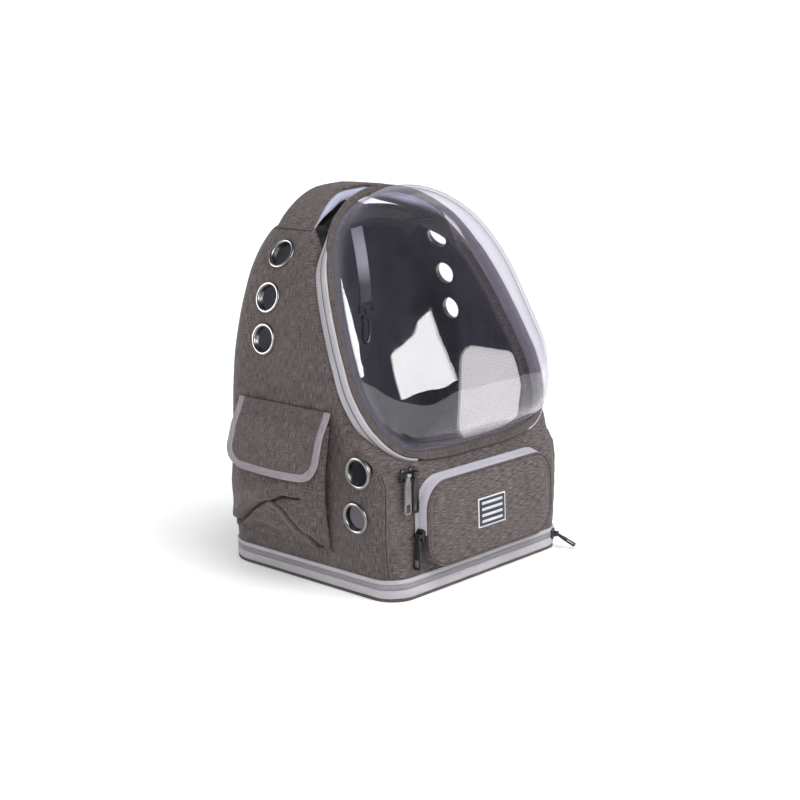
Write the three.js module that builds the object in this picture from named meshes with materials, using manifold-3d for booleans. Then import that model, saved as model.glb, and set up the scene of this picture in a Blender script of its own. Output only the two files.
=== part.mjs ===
// A bubble pet-carrier backpack: a soft padded shell with a zipped clear dome for a door, a front
// pocket, a flapped side pocket, metal eyelets, a mesh window, a carry handle and shoulder straps.
// Millimetres, +Z up, the dome faces -Y, the origin is on the ground under the middle of the base.
import * as THREE from 'three';
import { mergeVertices } from 'three/addons/utils/BufferGeometryUtils.js';
import Module from 'manifold-3d';

const wasm = await Module();
wasm.setup();
const radians = THREE.MathUtils.degToRad;

// Shell: driving sizes
const bodyHalfWidth = 174;
const bodyHeight = 448;
const bodyDepth = 280;
const wall = 3;
const liningGap = 0.6;
const liningThickness = 1;
const clearance = 0.3;
const backLean = 0.065; // how far the back moves forward for each millimetre up
const backCornerRadius = 42;
const baseCornerRadius = 30;
const frontCornerRadius = 36; // at the top of the front panel
const doorEdgeRadius = 8;
const handleTroughDepth = 42;
const shoulderHalfWidth = 118; // where the trough under the handle begins

// Base band
const basePanelThickness = 5;
const basePanelOverhang = 2.5;
const tapeThickness = 1.7;
const baseTapeHeight = 8.5;
const baseZipHeight = 6;
const baseUpperTapeHeight = 5.5;
const matThickness = 8;
const matMargin = 2;

// Door
const panelHeight = 138;
const frontPanelSetback = 6; // how far the panel's top lies behind the base's front edge
const doorSill = 150; // height from which the door's plane is measured
const doorSetback = 12; // how far the door's rim lies behind the base's front edge there
const doorLean = Math.atan(0.5);
const doorFrameDepth = 17; // how far the rim stands in front of the shell that carries the door
const cheekLow = 150; // the shell comes up to the rim below this height
const cheekHigh = 225; // and lies on the door's seat above this one
const pinchDepth = 9; // the right cheek is drawn in below the door's corner
const rimHalfWidth = 157;
const rimLength = 313;
const rimLift = 12;
const bindingWidth = 12.5;
const bindingThickness = 3;
const doorTapeOffset = 10;
const doorCoilHeight = 2.4;
const hingeHalfWidth = 100; // the zip stops here, and the door folds about its lower edge
const frameMargin = 5;
const frameTopMargin = 20;
const domeHeight = 74;
const domeThickness = 2;

// Front pocket
const pocketHalfWidth = 113;
const pocketBottom = 34;
const pocketHeight = 97;
const pocketDepth = 18;
const pocketCrown = 4;
const pocketCorner = 32;
const pocketWall = 2;
const pipingRadius = 1.8;
const pocketTapeWidth = 11;
const labelWidth = 46;
const labelHeight = 34;
const labelShift = -6;
const labelThickness = 0.8;

// Side pocket
const sidePocketFront = -62;
const sidePocketBack = 86;
const sidePocketFrontTaper = 14; // how far the lower front corner lies behind the upper one
const sidePocketBackTaper = 24;
const sidePocketBottom = 48;
const sidePocketTop = 196;
const sidePocketPuff = 29;
const sidePocketWall = 2;
const flapTop = 211;
const flapLength = 78;
const flapThickness = 2;
const flapCorner = 26;
const flapKick = 4; // how much further out the flap's free edge stands
const flapBindingWidth = 9;

// Eyelets
const eyeletHole = 13.2;
const eyeletTube = 14.4;
const eyeletFlange = 18.6;
const eyeletProud = 2.2;
const eyeletCut = 15;
const eyeletSides = 10;
const upperEyelets = [
  { y: 50, z: 377 },
  { y: 53, z: 328 },
  { y: 50, z: 281 },
];
const lowerEyelets = [
  { y: -99, z: 148 },
  { y: -91, z: 94 },
];

// Mesh window, in the right side
const windowFront = -64;
const windowBack = 42;
const windowBottom = 102;
const windowTop = 234;
const windowCorner = 26;
const windowBindingWidth = 9;
const meshThickness = 1;

// Carry handle
const handleProud = 3;
const handleThickness = 7;
const handlePadThickness = 6;
const handleHalfSpan = 116;
const handlePadHalfSpan = 92;
const handleFront = { root: 24, top: 50 };
const handleBack = { root: 80, top: 92 };

// Shoulder straps and back pad
const backPadThickness = 9;
const backPadHalfWidth = 112;
const backPadBottom = 60;
const backPadLength = 330;
const backPadCorner = 50;
const strapWidth = 58;
const strapThickness = 9;
const webbingWidth = 25;
const webbingThickness = 2;
const adjusterMargin = 4;
const adjusterPlate = 2.4;

// Tether
const tetherWidth = 20;
const tetherThickness = 1.6;
const tetherTop = { x: 2, y: 66, z: 396 };
const tetherEnd = { x: 14, y: 62, z: 303 };
const ringBar = 3.2;
const ringOpening = 6;
const swivelPost = 1.8;
const swivelBore = 2.3;
const hookWire = 2;
const hookWidth = 12;
const hookLength = 40;

// Zip sliders and pulls
const sliderHalfWidth = 6;
const sliderHalfLength = 7;
const sliderHeight = 4.2;
const pinHeight = 7.6;
const pinRadius = 1.1;
const pullBore = 1.5;
const pullBarrel = 2.6;
const pullBarrelHalf = 3;
const pullHalfWidth = 5.2;
const pullThickness = 2;
const pullLength = 45;
const pocketPullLength = 40;
const basePullLength = 27;
const basePullRest = radians(62); // it lies out to the ground

const smooth = (low, high, value) => THREE.MathUtils.smoothstep(value, low, high);
const mix = THREE.MathUtils.lerp;

const cloth = { color: 0x5b5451, roughness: 0.95, metalness: 0 };
const greyTape = { color: 0xb4b1b8, roughness: 0.85, metalness: 0 };
const liningCloth = { color: 0x2b2a33, roughness: 0.8, metalness: 0 };
const blackCloth = { color: 0x1c1c1f, roughness: 0.9, metalness: 0 };
const blackPlastic = { color: 0x18181a, roughness: 0.45, metalness: 0 };
const nickel = { color: 0xb8b6b4, roughness: 0.25, metalness: 1 };
const padMesh = { color: 0xb9bddb, roughness: 0.9, metalness: 0 };
const matCloth = { color: 0xbfb2a8, roughness: 1, metalness: 0 };
const windowMesh = { color: 0xb9b0a6, roughness: 0.9, metalness: 0 };
const bindingCloth = { color: 0x8a8086, roughness: 0.9, metalness: 0 };
const labelCloth = { color: 0xe8e8ea, roughness: 0.8, metalness: 0 };
const clearPlastic = { color: 0xf2f4fa, roughness: 0.05, metalness: 0, transparent: true, opacity: 0.3 };

// Solids from triangles

// One closed geometry from points and triangles, turned so that its faces point out.
function closedGeometry(points, triangles) {
  let volume = 0;
  const a = new THREE.Vector3();
  const b = new THREE.Vector3();
  const c = new THREE.Vector3();
  for (const [i, j, k] of triangles) {
    a.fromArray(points[i]);
    b.fromArray(points[j]);
    c.fromArray(points[k]);
    volume += a.dot(b.cross(c));
  }
  const index = volume < 0 ? triangles.map(([i, j, k]) => [i, k, j]) : triangles;
  const geometry = new THREE.BufferGeometry();
  geometry.setAttribute('position', new THREE.Float32BufferAttribute(points.flat(), 3));
  geometry.setIndex(index.flat());
  return geometry;
}

// A solid through a list of rings, each a closed loop with as many points as the others.
// ends: 'fan' closes each end to its middle, 'ladder' closes mirrored rings rung by rung,
// and 'loop' joins the last ring to the first.
function loft(rings, ends = 'fan') {
  const count = rings[0].length;
  const points = rings.flat();
  const triangles = [];
  const steps = ends === 'loop' ? rings.length : rings.length - 1;
  const quad = (a, b, c, d) => triangles.push([a, b, c], [a, c, d]);
  for (let i = 0; i < steps; i++) {
    const here = i * count;
    const next = ((i + 1) % rings.length) * count;
    for (let j = 0; j < count; j++) {
      const k = (j + 1) % count;
      quad(here + j, here + k, next + k, next + j);
    }
  }
  for (const [base, forward] of ends === 'loop' ? [] : [[0, false], [(rings.length - 1) * count, true]]) {
    const face = (a, b, c) => triangles.push(forward ? [a, b, c] : [a, c, b]);
    if (ends === 'fan') {
      const ring = points.slice(base, base + count);
      points.push([0, 1, 2].map((axis) => ring.reduce((sum, p) => sum + p[axis], 0) / count));
      for (let j = 0; j < count; j++) face(points.length - 1, base + j, base + ((j + 1) % count));
    } else {
      const half = Math.floor(count / 2);
      for (let j = 0; j < half - 1; j++) {
        const [left, leftUp, rightUp, right] = [j, j + 1, count - 2 - j, count - 1 - j].map((n) => base + n);
        face(left, leftUp, rightUp);
        face(left, rightUp, right);
      }
      if (count % 2) face(base + half - 1, base + half, base + half + 1);
    }
  }
  return closedGeometry(points, triangles);
}

function solid(geometry) {
  const bare = geometry.clone();
  for (const name of Object.keys(bare.attributes)) if (name !== 'position') bare.deleteAttribute(name);
  const merged = mergeVertices(bare, 1e-4);
  return new wasm.Manifold(new wasm.Mesh({
    numProp: 3,
    vertProperties: merged.attributes.position.array,
    triVerts: new Uint32Array(merged.index.array),
  }));
}

function geometryOf(manifold) {
  const mesh = manifold.getMesh();
  const geometry = new THREE.BufferGeometry();
  geometry.setAttribute('position', new THREE.Float32BufferAttribute(mesh.vertProperties, 3));
  geometry.setIndex(new THREE.Uint32BufferAttribute(mesh.triVerts, 1));
  return geometry;
}

function box(low, high) {
  const size = high.map((value, axis) => value - low[axis]);
  const middle = high.map((value, axis) => (value + low[axis]) / 2);
  return new THREE.BoxGeometry(...size).translate(...middle);
}

const group = new THREE.Group();

function add(name, geometry, material, parent = group) {
  const mesh = new THREE.Mesh(geometry, new THREE.MeshStandardMaterial(material));
  mesh.name = name;
  parent.add(mesh);
  return mesh;
}

// The shell's form

// The outline seen from the front, as shares of the body's half width and height.
const outlineRows = [
  { across: 0.89, up: 0 },
  { across: 0.955, up: 0.2 },
  { across: 0.995, up: 0.43 },
  { across: 0.985, up: 0.6 },
  { across: 0.92, up: 0.725 },
  { across: 0.83, up: 0.82 },
  { across: 0.7, up: 0.892 },
  { across: 0.51, up: 0.952 },
  { across: 0.27, up: 0.989 },
  { across: 0, up: 1 },
];
const outline = new THREE.SplineCurve(
  outlineRows.map((row) => new THREE.Vector2(row.across * bodyHalfWidth, row.up * bodyHeight)),
);

function outlineShareAt(height) {
  let low = 0;
  let high = 1;
  for (let i = 0; i < 30; i++) {
    const share = (low + high) / 2;
    if (outline.getPointAt(share).y < height) low = share;
    else high = share;
  }
  return low;
}

// Outward normal of the outline, level at its foot and upright at its top.
function outlineNormal(share) {
  if (share <= 0) return new THREE.Vector2(1, 0);
  if (share >= 1) return new THREE.Vector2(0, 1);
  const along = outline.getTangentAt(share);
  return new THREE.Vector2(along.y, -along.x);
}

const bandTop = basePanelThickness + baseTapeHeight + baseZipHeight + baseUpperTapeHeight + 4 * clearance;
const rowCount = 10;
const sharp = [bandTop, panelHeight].map(outlineShareAt);
const shellRows = [
  ...Array.from({ length: rowCount + 1 }, (_, i) => i / rowCount)
    .filter((share) => sharp.every((other) => Math.abs(share - other) > 0.3 / rowCount)),
  ...sharp,
].sort((a, b) => a - b);
const sharpRows = new Set(sharp.map((share) => shellRows.indexOf(share)));

const backY = (z) => bodyDepth / 2 - backLean * z;
const rimPlaneY = (z) => -bodyDepth / 2 + doorSetback + Math.tan(doorLean) * (z - doorSill);
const frontY = (z) => {
  const panel = -bodyDepth / 2 + (frontPanelSetback * z) / panelHeight;
  const seat = mix(clearance + 1.2, doorFrameDepth, smooth(cheekLow, cheekHigh, z)) / Math.cos(doorLean);
  return z < panelHeight ? panel : rimPlaneY(z) + seat;
};
const cornerRadius = (z) => {
  const lower = mix(baseCornerRadius, frontCornerRadius, smooth(bandTop, panelHeight, z));
  return mix(lower, doorEdgeRadius, smooth(panelHeight, panelHeight + 95, z));
};

// How far the right cheek is drawn in.
function pinchAt(y, z) {
  return pinchDepth * Math.exp(-(((z - doorSill) / 24) ** 2)) * smooth(80, 125, -y);
}

// Where the shell's section is taken between front and back: round corners, and a plain middle.
const cornerSteps = 2;
const corner = Array.from({ length: cornerSteps + 1 }, (_, i) => (i / cornerSteps) * (Math.PI / 2));
const columns = [
  ...corner.map((angle) => ({ part: 'front', angle })),
  { part: 'middle', share: 1 / 2 },
  ...corner.map((angle) => ({ part: 'back', angle })),
];

// How far one column lies in from the outline at one height; grow moves it outward.
function columnInset(column, z, grow) {
  if (column.part === 'middle') return -grow;
  const radius = column.part === 'front' ? cornerRadius(z) : backCornerRadius;
  const turn = column.part === 'front' ? Math.sin(column.angle) : Math.cos(column.angle);
  return radius - (radius + grow) * turn;
}

// Where one column lies along Y at one height.
function columnY(column, z, grow) {
  const radius = cornerRadius(z);
  const front = frontY(z);
  const back = backY(z);
  if (column.part === 'front') {
    const slant = z > panelHeight ? 1 / Math.cos(doorLean) : 1;
    return front + radius - (radius + grow * slant) * Math.cos(column.angle);
  }
  if (column.part === 'back') {
    return back - backCornerRadius + (backCornerRadius + grow) * Math.sin(column.angle);
  }
  return mix(front + radius, back - backCornerRadius, column.share);
}

// How far the top sinks to make room for fingers under the handle.
function troughAt(x, fromFront, fromBack) {
  const across = smooth(0, 0.45, 1 - Math.abs(x) / shoulderHalfWidth);
  const along = smooth(doorEdgeRadius / 2, 3 * doorEdgeRadius, fromFront) * smooth(0, backCornerRadius, fromBack);
  return handleTroughDepth * across * along;
}

// The whole body as one solid, grown outward by grow (or shrunk, below nought).
function bodySolid(grow) {
  const rings = columns.map((column) => {
    const side = shellRows.map((share, row) => {
      const at = outline.getPointAt(share);
      const normal = outlineNormal(share);
      const inset = columnInset(column, at.y, grow);
      const x = Math.max(0, at.x - normal.x * inset);
      const upright = sharpRows.has(row);
      const level = upright ? at.y : at.y - normal.y * inset;
      const y = columnY(column, level, grow);
      const bare = columnY(column, level, 0);
      const trough = troughAt(at.x, bare - frontY(at.y), backY(at.y) - bare);
      return [x, y, row === 0 ? basePanelThickness + clearance - grow : level - trough];
    });
    const top = side.pop();
    const left = side.map(([x, y, z]) => [-x, y, z]);
    const right = side.map(([x, y, z]) => [x - pinchAt(y, z), y, z]).reverse();
    return [...left, [0, top[1], top[2]], ...right];
  });
  return solid(loft(rings, 'ladder'));
}

const sideX = (z) => outline.getPointAt(outlineShareAt(z)).x;

// The body's plan at one height, as a ring grown outward by grow.
function planRing(z, grow) {
  const right = columns.map((column) => {
    return [sideX(z) - columnInset(column, z, grow), columnY(column, z, grow), z];
  });
  return [...right, ...right.map(([x, y]) => [-x, y, z]).reverse()];
}

// A frame on a leaning plane: across it, up it, and out of it.
function leaningFrame(y, z, lean, facing) {
  return (across, up, out) => [
    across,
    y + up * Math.sin(lean) + facing * out * Math.cos(lean),
    z + up * Math.cos(lean) - facing * out * Math.sin(lean),
  ];
}
const onDoor = leaningFrame(rimPlaneY(doorSill), doorSill, doorLean, -1);
const onFront = leaningFrame(-bodyDepth / 2, 0, Math.atan(frontPanelSetback / panelHeight), -1);
const onBack = leaningFrame(bodyDepth / 2, 0, -Math.atan(backLean), 1);

// The door's outline

// Half of the dome's rim, as shares of its half width and length.
const rimRows = [
  { across: 0, up: 0 },
  { across: 0.42, up: 0.004 },
  { across: 0.76, up: 0.035 },
  { across: 0.93, up: 0.125 },
  { across: 1, up: 0.25 },
  { across: 0.985, up: 0.37 },
  { across: 0.945, up: 0.5 },
  { across: 0.885, up: 0.63 },
  { across: 0.79, up: 0.755 },
  { across: 0.65, up: 0.865 },
  { across: 0.4, up: 0.955 },
  { across: 0.14, up: 0.995 },
];
const rimSteps = 32;
const rimCurve = new THREE.CatmullRomCurve3([
  ...rimRows.map((row) => new THREE.Vector3(row.across * rimHalfWidth, rimLift + row.up * rimLength, 0)),
  ...rimRows.slice(1).reverse().map(
    (row) => new THREE.Vector3(-row.across * rimHalfWidth, rimLift + row.up * rimLength, 0),
  ),
], true, 'centripetal');
const rim = Array.from({ length: rimSteps }, (_, i) => {
  const at = rimCurve.getPointAt(i / rimSteps);
  const along = rimCurve.getTangentAt(i / rimSteps);
  return { x: at.x, up: at.y, outX: along.y, outUp: -along.x };
});
const rimMiddle = rimLift + rimLength * 0.48;
const rimRing = (offset, out) => rim.map((p) => onDoor(p.x + p.outX * offset, p.up + p.outUp * offset, out));

// A band of the rim's shape: its section is a list of offset and height pairs.
const rimBand = (section) => loft(
  rim.map((p) => section.map(([offset, out]) => onDoor(p.x + p.outX * offset, p.up + p.outUp * offset, out))),
  'loop',
);

// A zip strip round the door's side wall, which stops at the fold at the bottom.
function doorStrip(outer, low, high) {
  const band = rimBand([[doorTapeOffset, low], [outer, low], [outer, high], [doorTapeOffset, high]]);
  const fold = box([-hingeHalfWidth, -bodyDepth, 0], [hingeHalfWidth, 0, doorSill + 60]);
  return geometryOf(solid(band).subtract(solid(fold)));
}

// Eyelets

function eyeletPlace(eyelet, side) {
  const share = outlineShareAt(eyelet.z);
  const normal = outlineNormal(share);
  const at = outline.getPointAt(share);
  return {
    position: new THREE.Vector3(side * at.x, eyelet.y, at.y),
    axis: new THREE.Vector3(side * normal.x, 0, normal.y),
  };
}

function turnedTo(geometry, place) {
  const turn = new THREE.Quaternion().setFromUnitVectors(new THREE.Vector3(0, 1, 0), place.axis);
  return geometry.applyQuaternion(turn).translate(...place.position.toArray());
}

const eyeletPlaces = [
  ...upperEyelets.map((eyelet, i) => ({ name: `eyelet_left_${i + 1}`, place: eyeletPlace(eyelet, -1) })),
  ...lowerEyelets.map((eyelet, i) => ({ name: `eyelet_left_low_${i + 1}`, place: eyeletPlace(eyelet, -1) })),
  ...upperEyelets.map((eyelet, i) => ({ name: `eyelet_right_${i + 1}`, place: eyeletPlace(eyelet, 1) })),
];
const innerFace = wall + liningGap + liningThickness;

function eyelet(place) {
  const profile = [
    [eyeletHole, -innerFace - 1],
    [eyeletTube, -innerFace - 1],
    [eyeletTube, clearance],
    [eyeletFlange, clearance],
    [eyeletFlange - 1, eyeletProud - 0.4],
    [eyeletHole, eyeletProud],
    [eyeletHole, -innerFace - 1],
  ].map(([radius, height]) => new THREE.Vector2(radius, height));
  return turnedTo(new THREE.LatheGeometry(profile, eyeletSides), place);
}
const eyeletCutter = (place) => solid(turnedTo(new THREE.CylinderGeometry(eyeletCut, eyeletCut, 40, eyeletSides), place));

// Window

function roundedRectangle(width, height, radius, steps = 4) {
  const points = [];
  for (let quarter = 0; quarter < 4; quarter++) {
    const cx = [1, -1, -1, 1][quarter] * (width / 2 - radius);
    const cy = [1, 1, -1, -1][quarter] * (height / 2 - radius);
    for (let i = 0; i <= steps; i++) {
      const angle = (quarter + i / steps) * (Math.PI / 2);
      points.push([cx + radius * Math.cos(angle), cy + radius * Math.sin(angle)]);
    }
  }
  return points;
}
const windowMiddle = { y: (windowFront + windowBack) / 2, z: (windowBottom + windowTop) / 2 };
const windowOutline = (grow) => roundedRectangle(
  windowBack - windowFront + 2 * grow,
  windowTop - windowBottom + 2 * grow,
  windowCorner + grow,
).map(([y, z]) => [windowMiddle.y + y, windowMiddle.z + z]);
const windowPrism = (grow) => solid(loft(
  [bodyHalfWidth - 60, bodyHalfWidth + 30].map((x) => windowOutline(grow).map(([y, z]) => [x, y, z])),
));

// Shell, lining, base

function addShell() {
  // The body with the door's seat sunk into it, grown outward by grow.
  const seated = (grow) => {
    const offset = bindingWidth + clearance - grow;
    const seat = loft([rimRing(offset, grow - doorFrameDepth), rimRing(offset, 60)]);
    return bodySolid(grow).subtract(solid(seat));
  };
  const mouth = loft([-60, 40].map((out) => rim.map((p) => {
    const high = smooth(rimLength * 0.8, rimLength, p.up);
    const offset = -mix(frameMargin, frameTopMargin, high);
    return onDoor(p.x + p.outX * offset, p.up + p.outUp * offset, out);
  })));
  const cutters = [
    solid(mouth),
    windowPrism(0),
    ...eyeletPlaces.map(({ place }) => eyeletCutter(place)),
  ];
  const pierced = (body) => cutters.reduce((left, cutter) => left.subtract(cutter), body);
  add('shell', geometryOf(pierced(seated(0).subtract(seated(-wall)))), cloth);
  const liningSkin = seated(-wall - liningGap).subtract(seated(-innerFace));
  add('lining', geometryOf(pierced(liningSkin)), liningCloth);
  const meshSkin = bodySolid(-1).subtract(bodySolid(-1 - meshThickness));
  add('side_mesh', geometryOf(meshSkin.intersect(windowPrism(-clearance))), windowMesh);
}

function addBase() {
  const core = bodySolid(clearance);
  const ring = (bottom, height, thickness) => {
    const slab = box([-bodyHalfWidth, -bodyDepth, bottom], [bodyHalfWidth, bodyDepth, bottom + height]);
    return geometryOf(bodySolid(clearance + thickness).subtract(core).intersect(solid(slab)));
  };
  const flat = (z, grow) => planRing(basePanelThickness, grow).map(([x, y]) => [x, y, z]);
  add('base_panel', loft([flat(0, basePanelOverhang), flat(basePanelThickness, basePanelOverhang)]), cloth);
  const tapeBottom = basePanelThickness + clearance;
  const zipBottom = tapeBottom + baseTapeHeight + clearance;
  const upperBottom = zipBottom + baseZipHeight + clearance;
  add('base_tape_lower', ring(tapeBottom, baseTapeHeight, tapeThickness), greyTape);
  add('base_zip', ring(zipBottom, baseZipHeight, tapeThickness - 0.3), greyTape);
  add('base_tape_upper', ring(upperBottom, baseUpperTapeHeight, tapeThickness), greyTape);
  const floor = basePanelThickness + clearance + innerFace + clearance;
  const matRing = (z) => planRing(floor, -innerFace - matMargin).map(([x, y]) => [x, y, z]);
  add('floor_mat', loft([matRing(floor), matRing(floor + matThickness)]), matCloth);
}

// Door: dome, binding and zip

function addDoor() {
  const flangeEdge = doorTapeOffset - 1;
  const flangeTop = -clearance;
  const flangeFoot = flangeTop - domeThickness;
  add('door_binding', rimBand([
    [bindingWidth, 0],
    [bindingWidth, bindingThickness - 1],
    [bindingWidth - 2, bindingThickness],
    [0.8, bindingThickness],
    [0.8, 0],
  ]), cloth);

  // The dome's wall rises steeply from its flange and flattens over the middle.
  const domeRows = [0, 0.12, 0.3, 0.52, 0.78, 1].map((step) => step * (Math.PI / 2));
  const wallRing = (angle, inset) => {
    const share = Math.pow(Math.cos(angle), 0.8);
    const height = (domeHeight - inset) * Math.pow(Math.sin(angle), 0.75);
    return rim.map((p) => onDoor(
      (p.x - p.outX * (1 + inset)) * share,
      rimMiddle + (p.up - p.outUp * (1 + inset) - rimMiddle) * share,
      flangeTop - inset + height,
    ));
  };
  const outerRings = domeRows.slice(0, -1).map((angle) => wallRing(angle, 0));
  const innerRings = domeRows.slice(0, -1).map((angle) => wallRing(angle, domeThickness));
  add('bubble_dome', loft([
    ...outerRings.reverse(),
    rimRing(flangeEdge, flangeTop),
    rimRing(flangeEdge, flangeFoot),
    ...innerRings,
  ]), clearPlastic);

  const seat = -doorFrameDepth + clearance;
  const tapeHeight = (doorFrameDepth - doorCoilHeight - 4 * clearance) / 2;
  const coilLow = seat + tapeHeight + clearance;
  const coilHigh = coilLow + doorCoilHeight;
  const tapeOuter = doorTapeOffset + tapeThickness;
  add('door_tape_outer', doorStrip(tapeOuter, seat, seat + tapeHeight), greyTape);
  add('door_zip', doorStrip(tapeOuter + 0.5, coilLow, coilHigh), greyTape);
  add('door_tape_inner', doorStrip(tapeOuter, coilHigh + clearance, coilHigh + clearance + tapeHeight), greyTape);
}

// Front pocket

const pocketMiddle = pocketBottom + pocketHeight / 2;

function pocketRing(inset, out) {
  const width = 2 * (pocketHalfWidth - inset);
  const height = pocketHeight - 2 * inset;
  return roundedRectangle(width, height, Math.max(pocketCorner - inset, 2), 4)
    .map(([x, up]) => onFront(x, pocketMiddle + up, out));
}

function addFrontPocket() {
  const face = clearance + pocketDepth;
  add('front_pocket', loft([
    pocketRing(pocketHeight * 0.36, face + pocketCrown),
    pocketRing(pocketHeight * 0.16, face + pocketCrown * 0.7),
    pocketRing(3, face),
    pocketRing(0, face - 3),
    pocketRing(0, clearance),
    pocketRing(pocketWall, clearance),
    pocketRing(pocketWall, face - 3 - pocketWall),
    pocketRing(pocketHeight * 0.16, face + pocketCrown * 0.7 - pocketWall),
    pocketRing(pocketHeight * 0.36, face + pocketCrown - pocketWall),
  ]), cloth);
  const pipingOut = face - 2;
  const pipingOffset = -pipingRadius - clearance;
  const section = Array.from({ length: 6 }, (_, i) => (i / 6) * 2 * Math.PI);
  add('pocket_piping', loft(section.map((angle) => pocketRing(
    pipingOffset + pipingRadius * Math.cos(angle),
    pipingOut + pipingRadius * Math.sin(angle),
  )), 'loop'), cloth);

  // The zip tape runs over the top and half way down both sides, behind the piping.
  const tapeFront = pipingOut - pipingRadius - clearance;
  const ring = [tapeFront, tapeFront - pocketTapeWidth].flatMap((out, i) => [
    pocketRing(-clearance - tapeThickness * i, out),
    pocketRing(-clearance - tapeThickness * (1 - i), out),
  ]);
  const upper = box([-bodyHalfWidth, -bodyDepth, pocketMiddle - 8], [bodyHalfWidth, 0, bodyHeight]);
  add('pocket_tape', geometryOf(solid(loft(ring, 'loop')).intersect(solid(upper))), greyTape);

  const labelFace = face + pocketCrown + clearance;
  const label = (out) => roundedRectangle(labelWidth, labelHeight, 1.5, 1)
    .map(([x, up]) => onFront(labelShift + x, pocketMiddle + up, out));
  add('front_label', loft([label(labelFace), label(labelFace + labelThickness)]), labelCloth);
}

// Side pocket

// Folds in the pocket's slack cloth, in shares of its depth and height: a valley has a depth
// above nought and a ridge one below it.
const pocketFolds = [
  { fromAlong: 0.98, fromUp: 0.1, toAlong: 0.5, toUp: 0.42, depth: 0.42, width: 0.07 },
  { fromAlong: 0.5, fromUp: 0.42, toAlong: 0.22, toUp: 0.44, depth: 0.36, width: 0.06 },
  { fromAlong: 0.42, fromUp: 0.4, toAlong: 0.24, toUp: 0.12, depth: 0.45, width: 0.06 },
  { fromAlong: 0.24, fromUp: 0.12, toAlong: 0.04, toUp: 0.03, depth: 0.3, width: 0.05 },
  { fromAlong: 0.66, fromUp: 0.4, toAlong: 0.34, toUp: 0.56, depth: -0.22, width: 0.09 },
  { fromAlong: 0.62, fromUp: 0.14, toAlong: 0.44, toUp: 0.26, depth: -0.2, width: 0.08 },
];

function foldDepth(along, up) {
  const depth = pocketFolds.reduce((sum, fold) => {
    const dx = fold.toAlong - fold.fromAlong;
    const dy = fold.toUp - fold.fromUp;
    const raw = ((along - fold.fromAlong) * dx + (up - fold.fromUp) * dy) / (dx * dx + dy * dy);
    const share = THREE.MathUtils.clamp(raw, 0, 1);
    const far = Math.hypot(along - fold.fromAlong - share * dx, up - fold.fromUp - share * dy);
    return sum + fold.depth * Math.exp(-((far / fold.width) ** 2));
  }, 0);
  return Math.min(depth, 0.6) * (1 - smooth(0.48, 0.6, up));
}

// How far the pocket stands out from the side, at a share of its depth and height, without folds.
function puffAt(along, up) {
  const edge = Math.pow(Math.sin(Math.PI * THREE.MathUtils.clamp(along, 0.004, 0.996)), 0.28);
  const lift = mix(0.28, 1, smooth(0, 0.45, up)) * mix(1, 0.78, smooth(0.65, 1, up));
  return sidePocketPuff * edge * lift;
}
const pocketShare = (z) => (z - sidePocketBottom) / (sidePocketTop - sidePocketBottom);

function pocketBlock(inset, top, backOffset) {
  const alongSteps = 12;
  const upSteps = 10;
  const rings = Array.from({ length: upSteps + 1 }, (_, row) => {
    const z = mix(sidePocketBottom + inset, top, row / upSteps);
    const up = pocketShare(z);
    const near = sidePocketFront + sidePocketFrontTaper * (1 - up);
    const far = sidePocketBack + sidePocketBackTaper * (1 - up);
    const low = near + inset;
    const high = far - inset;
    const front = Array.from({ length: alongSteps + 1 }, (_, i) => {
      const y = mix(low, high, i / alongSteps);
      const along = (y - near) / (far - near);
      const puff = puffAt(along, Math.min(up, 1));
      const out = Math.max(puff * (1 - foldDepth(along, up) * Math.min(puff / 8, 1)) - inset, 1 - inset * 0.2);
      return [-sideX(z) - clearance - out, y, z];
    });
    const back = [[high, 1], [low, 0]].map(([y]) => [-sideX(z) - backOffset, y, z]);
    return [...front, ...back];
  });
  return solid(loft(rings));
}

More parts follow.
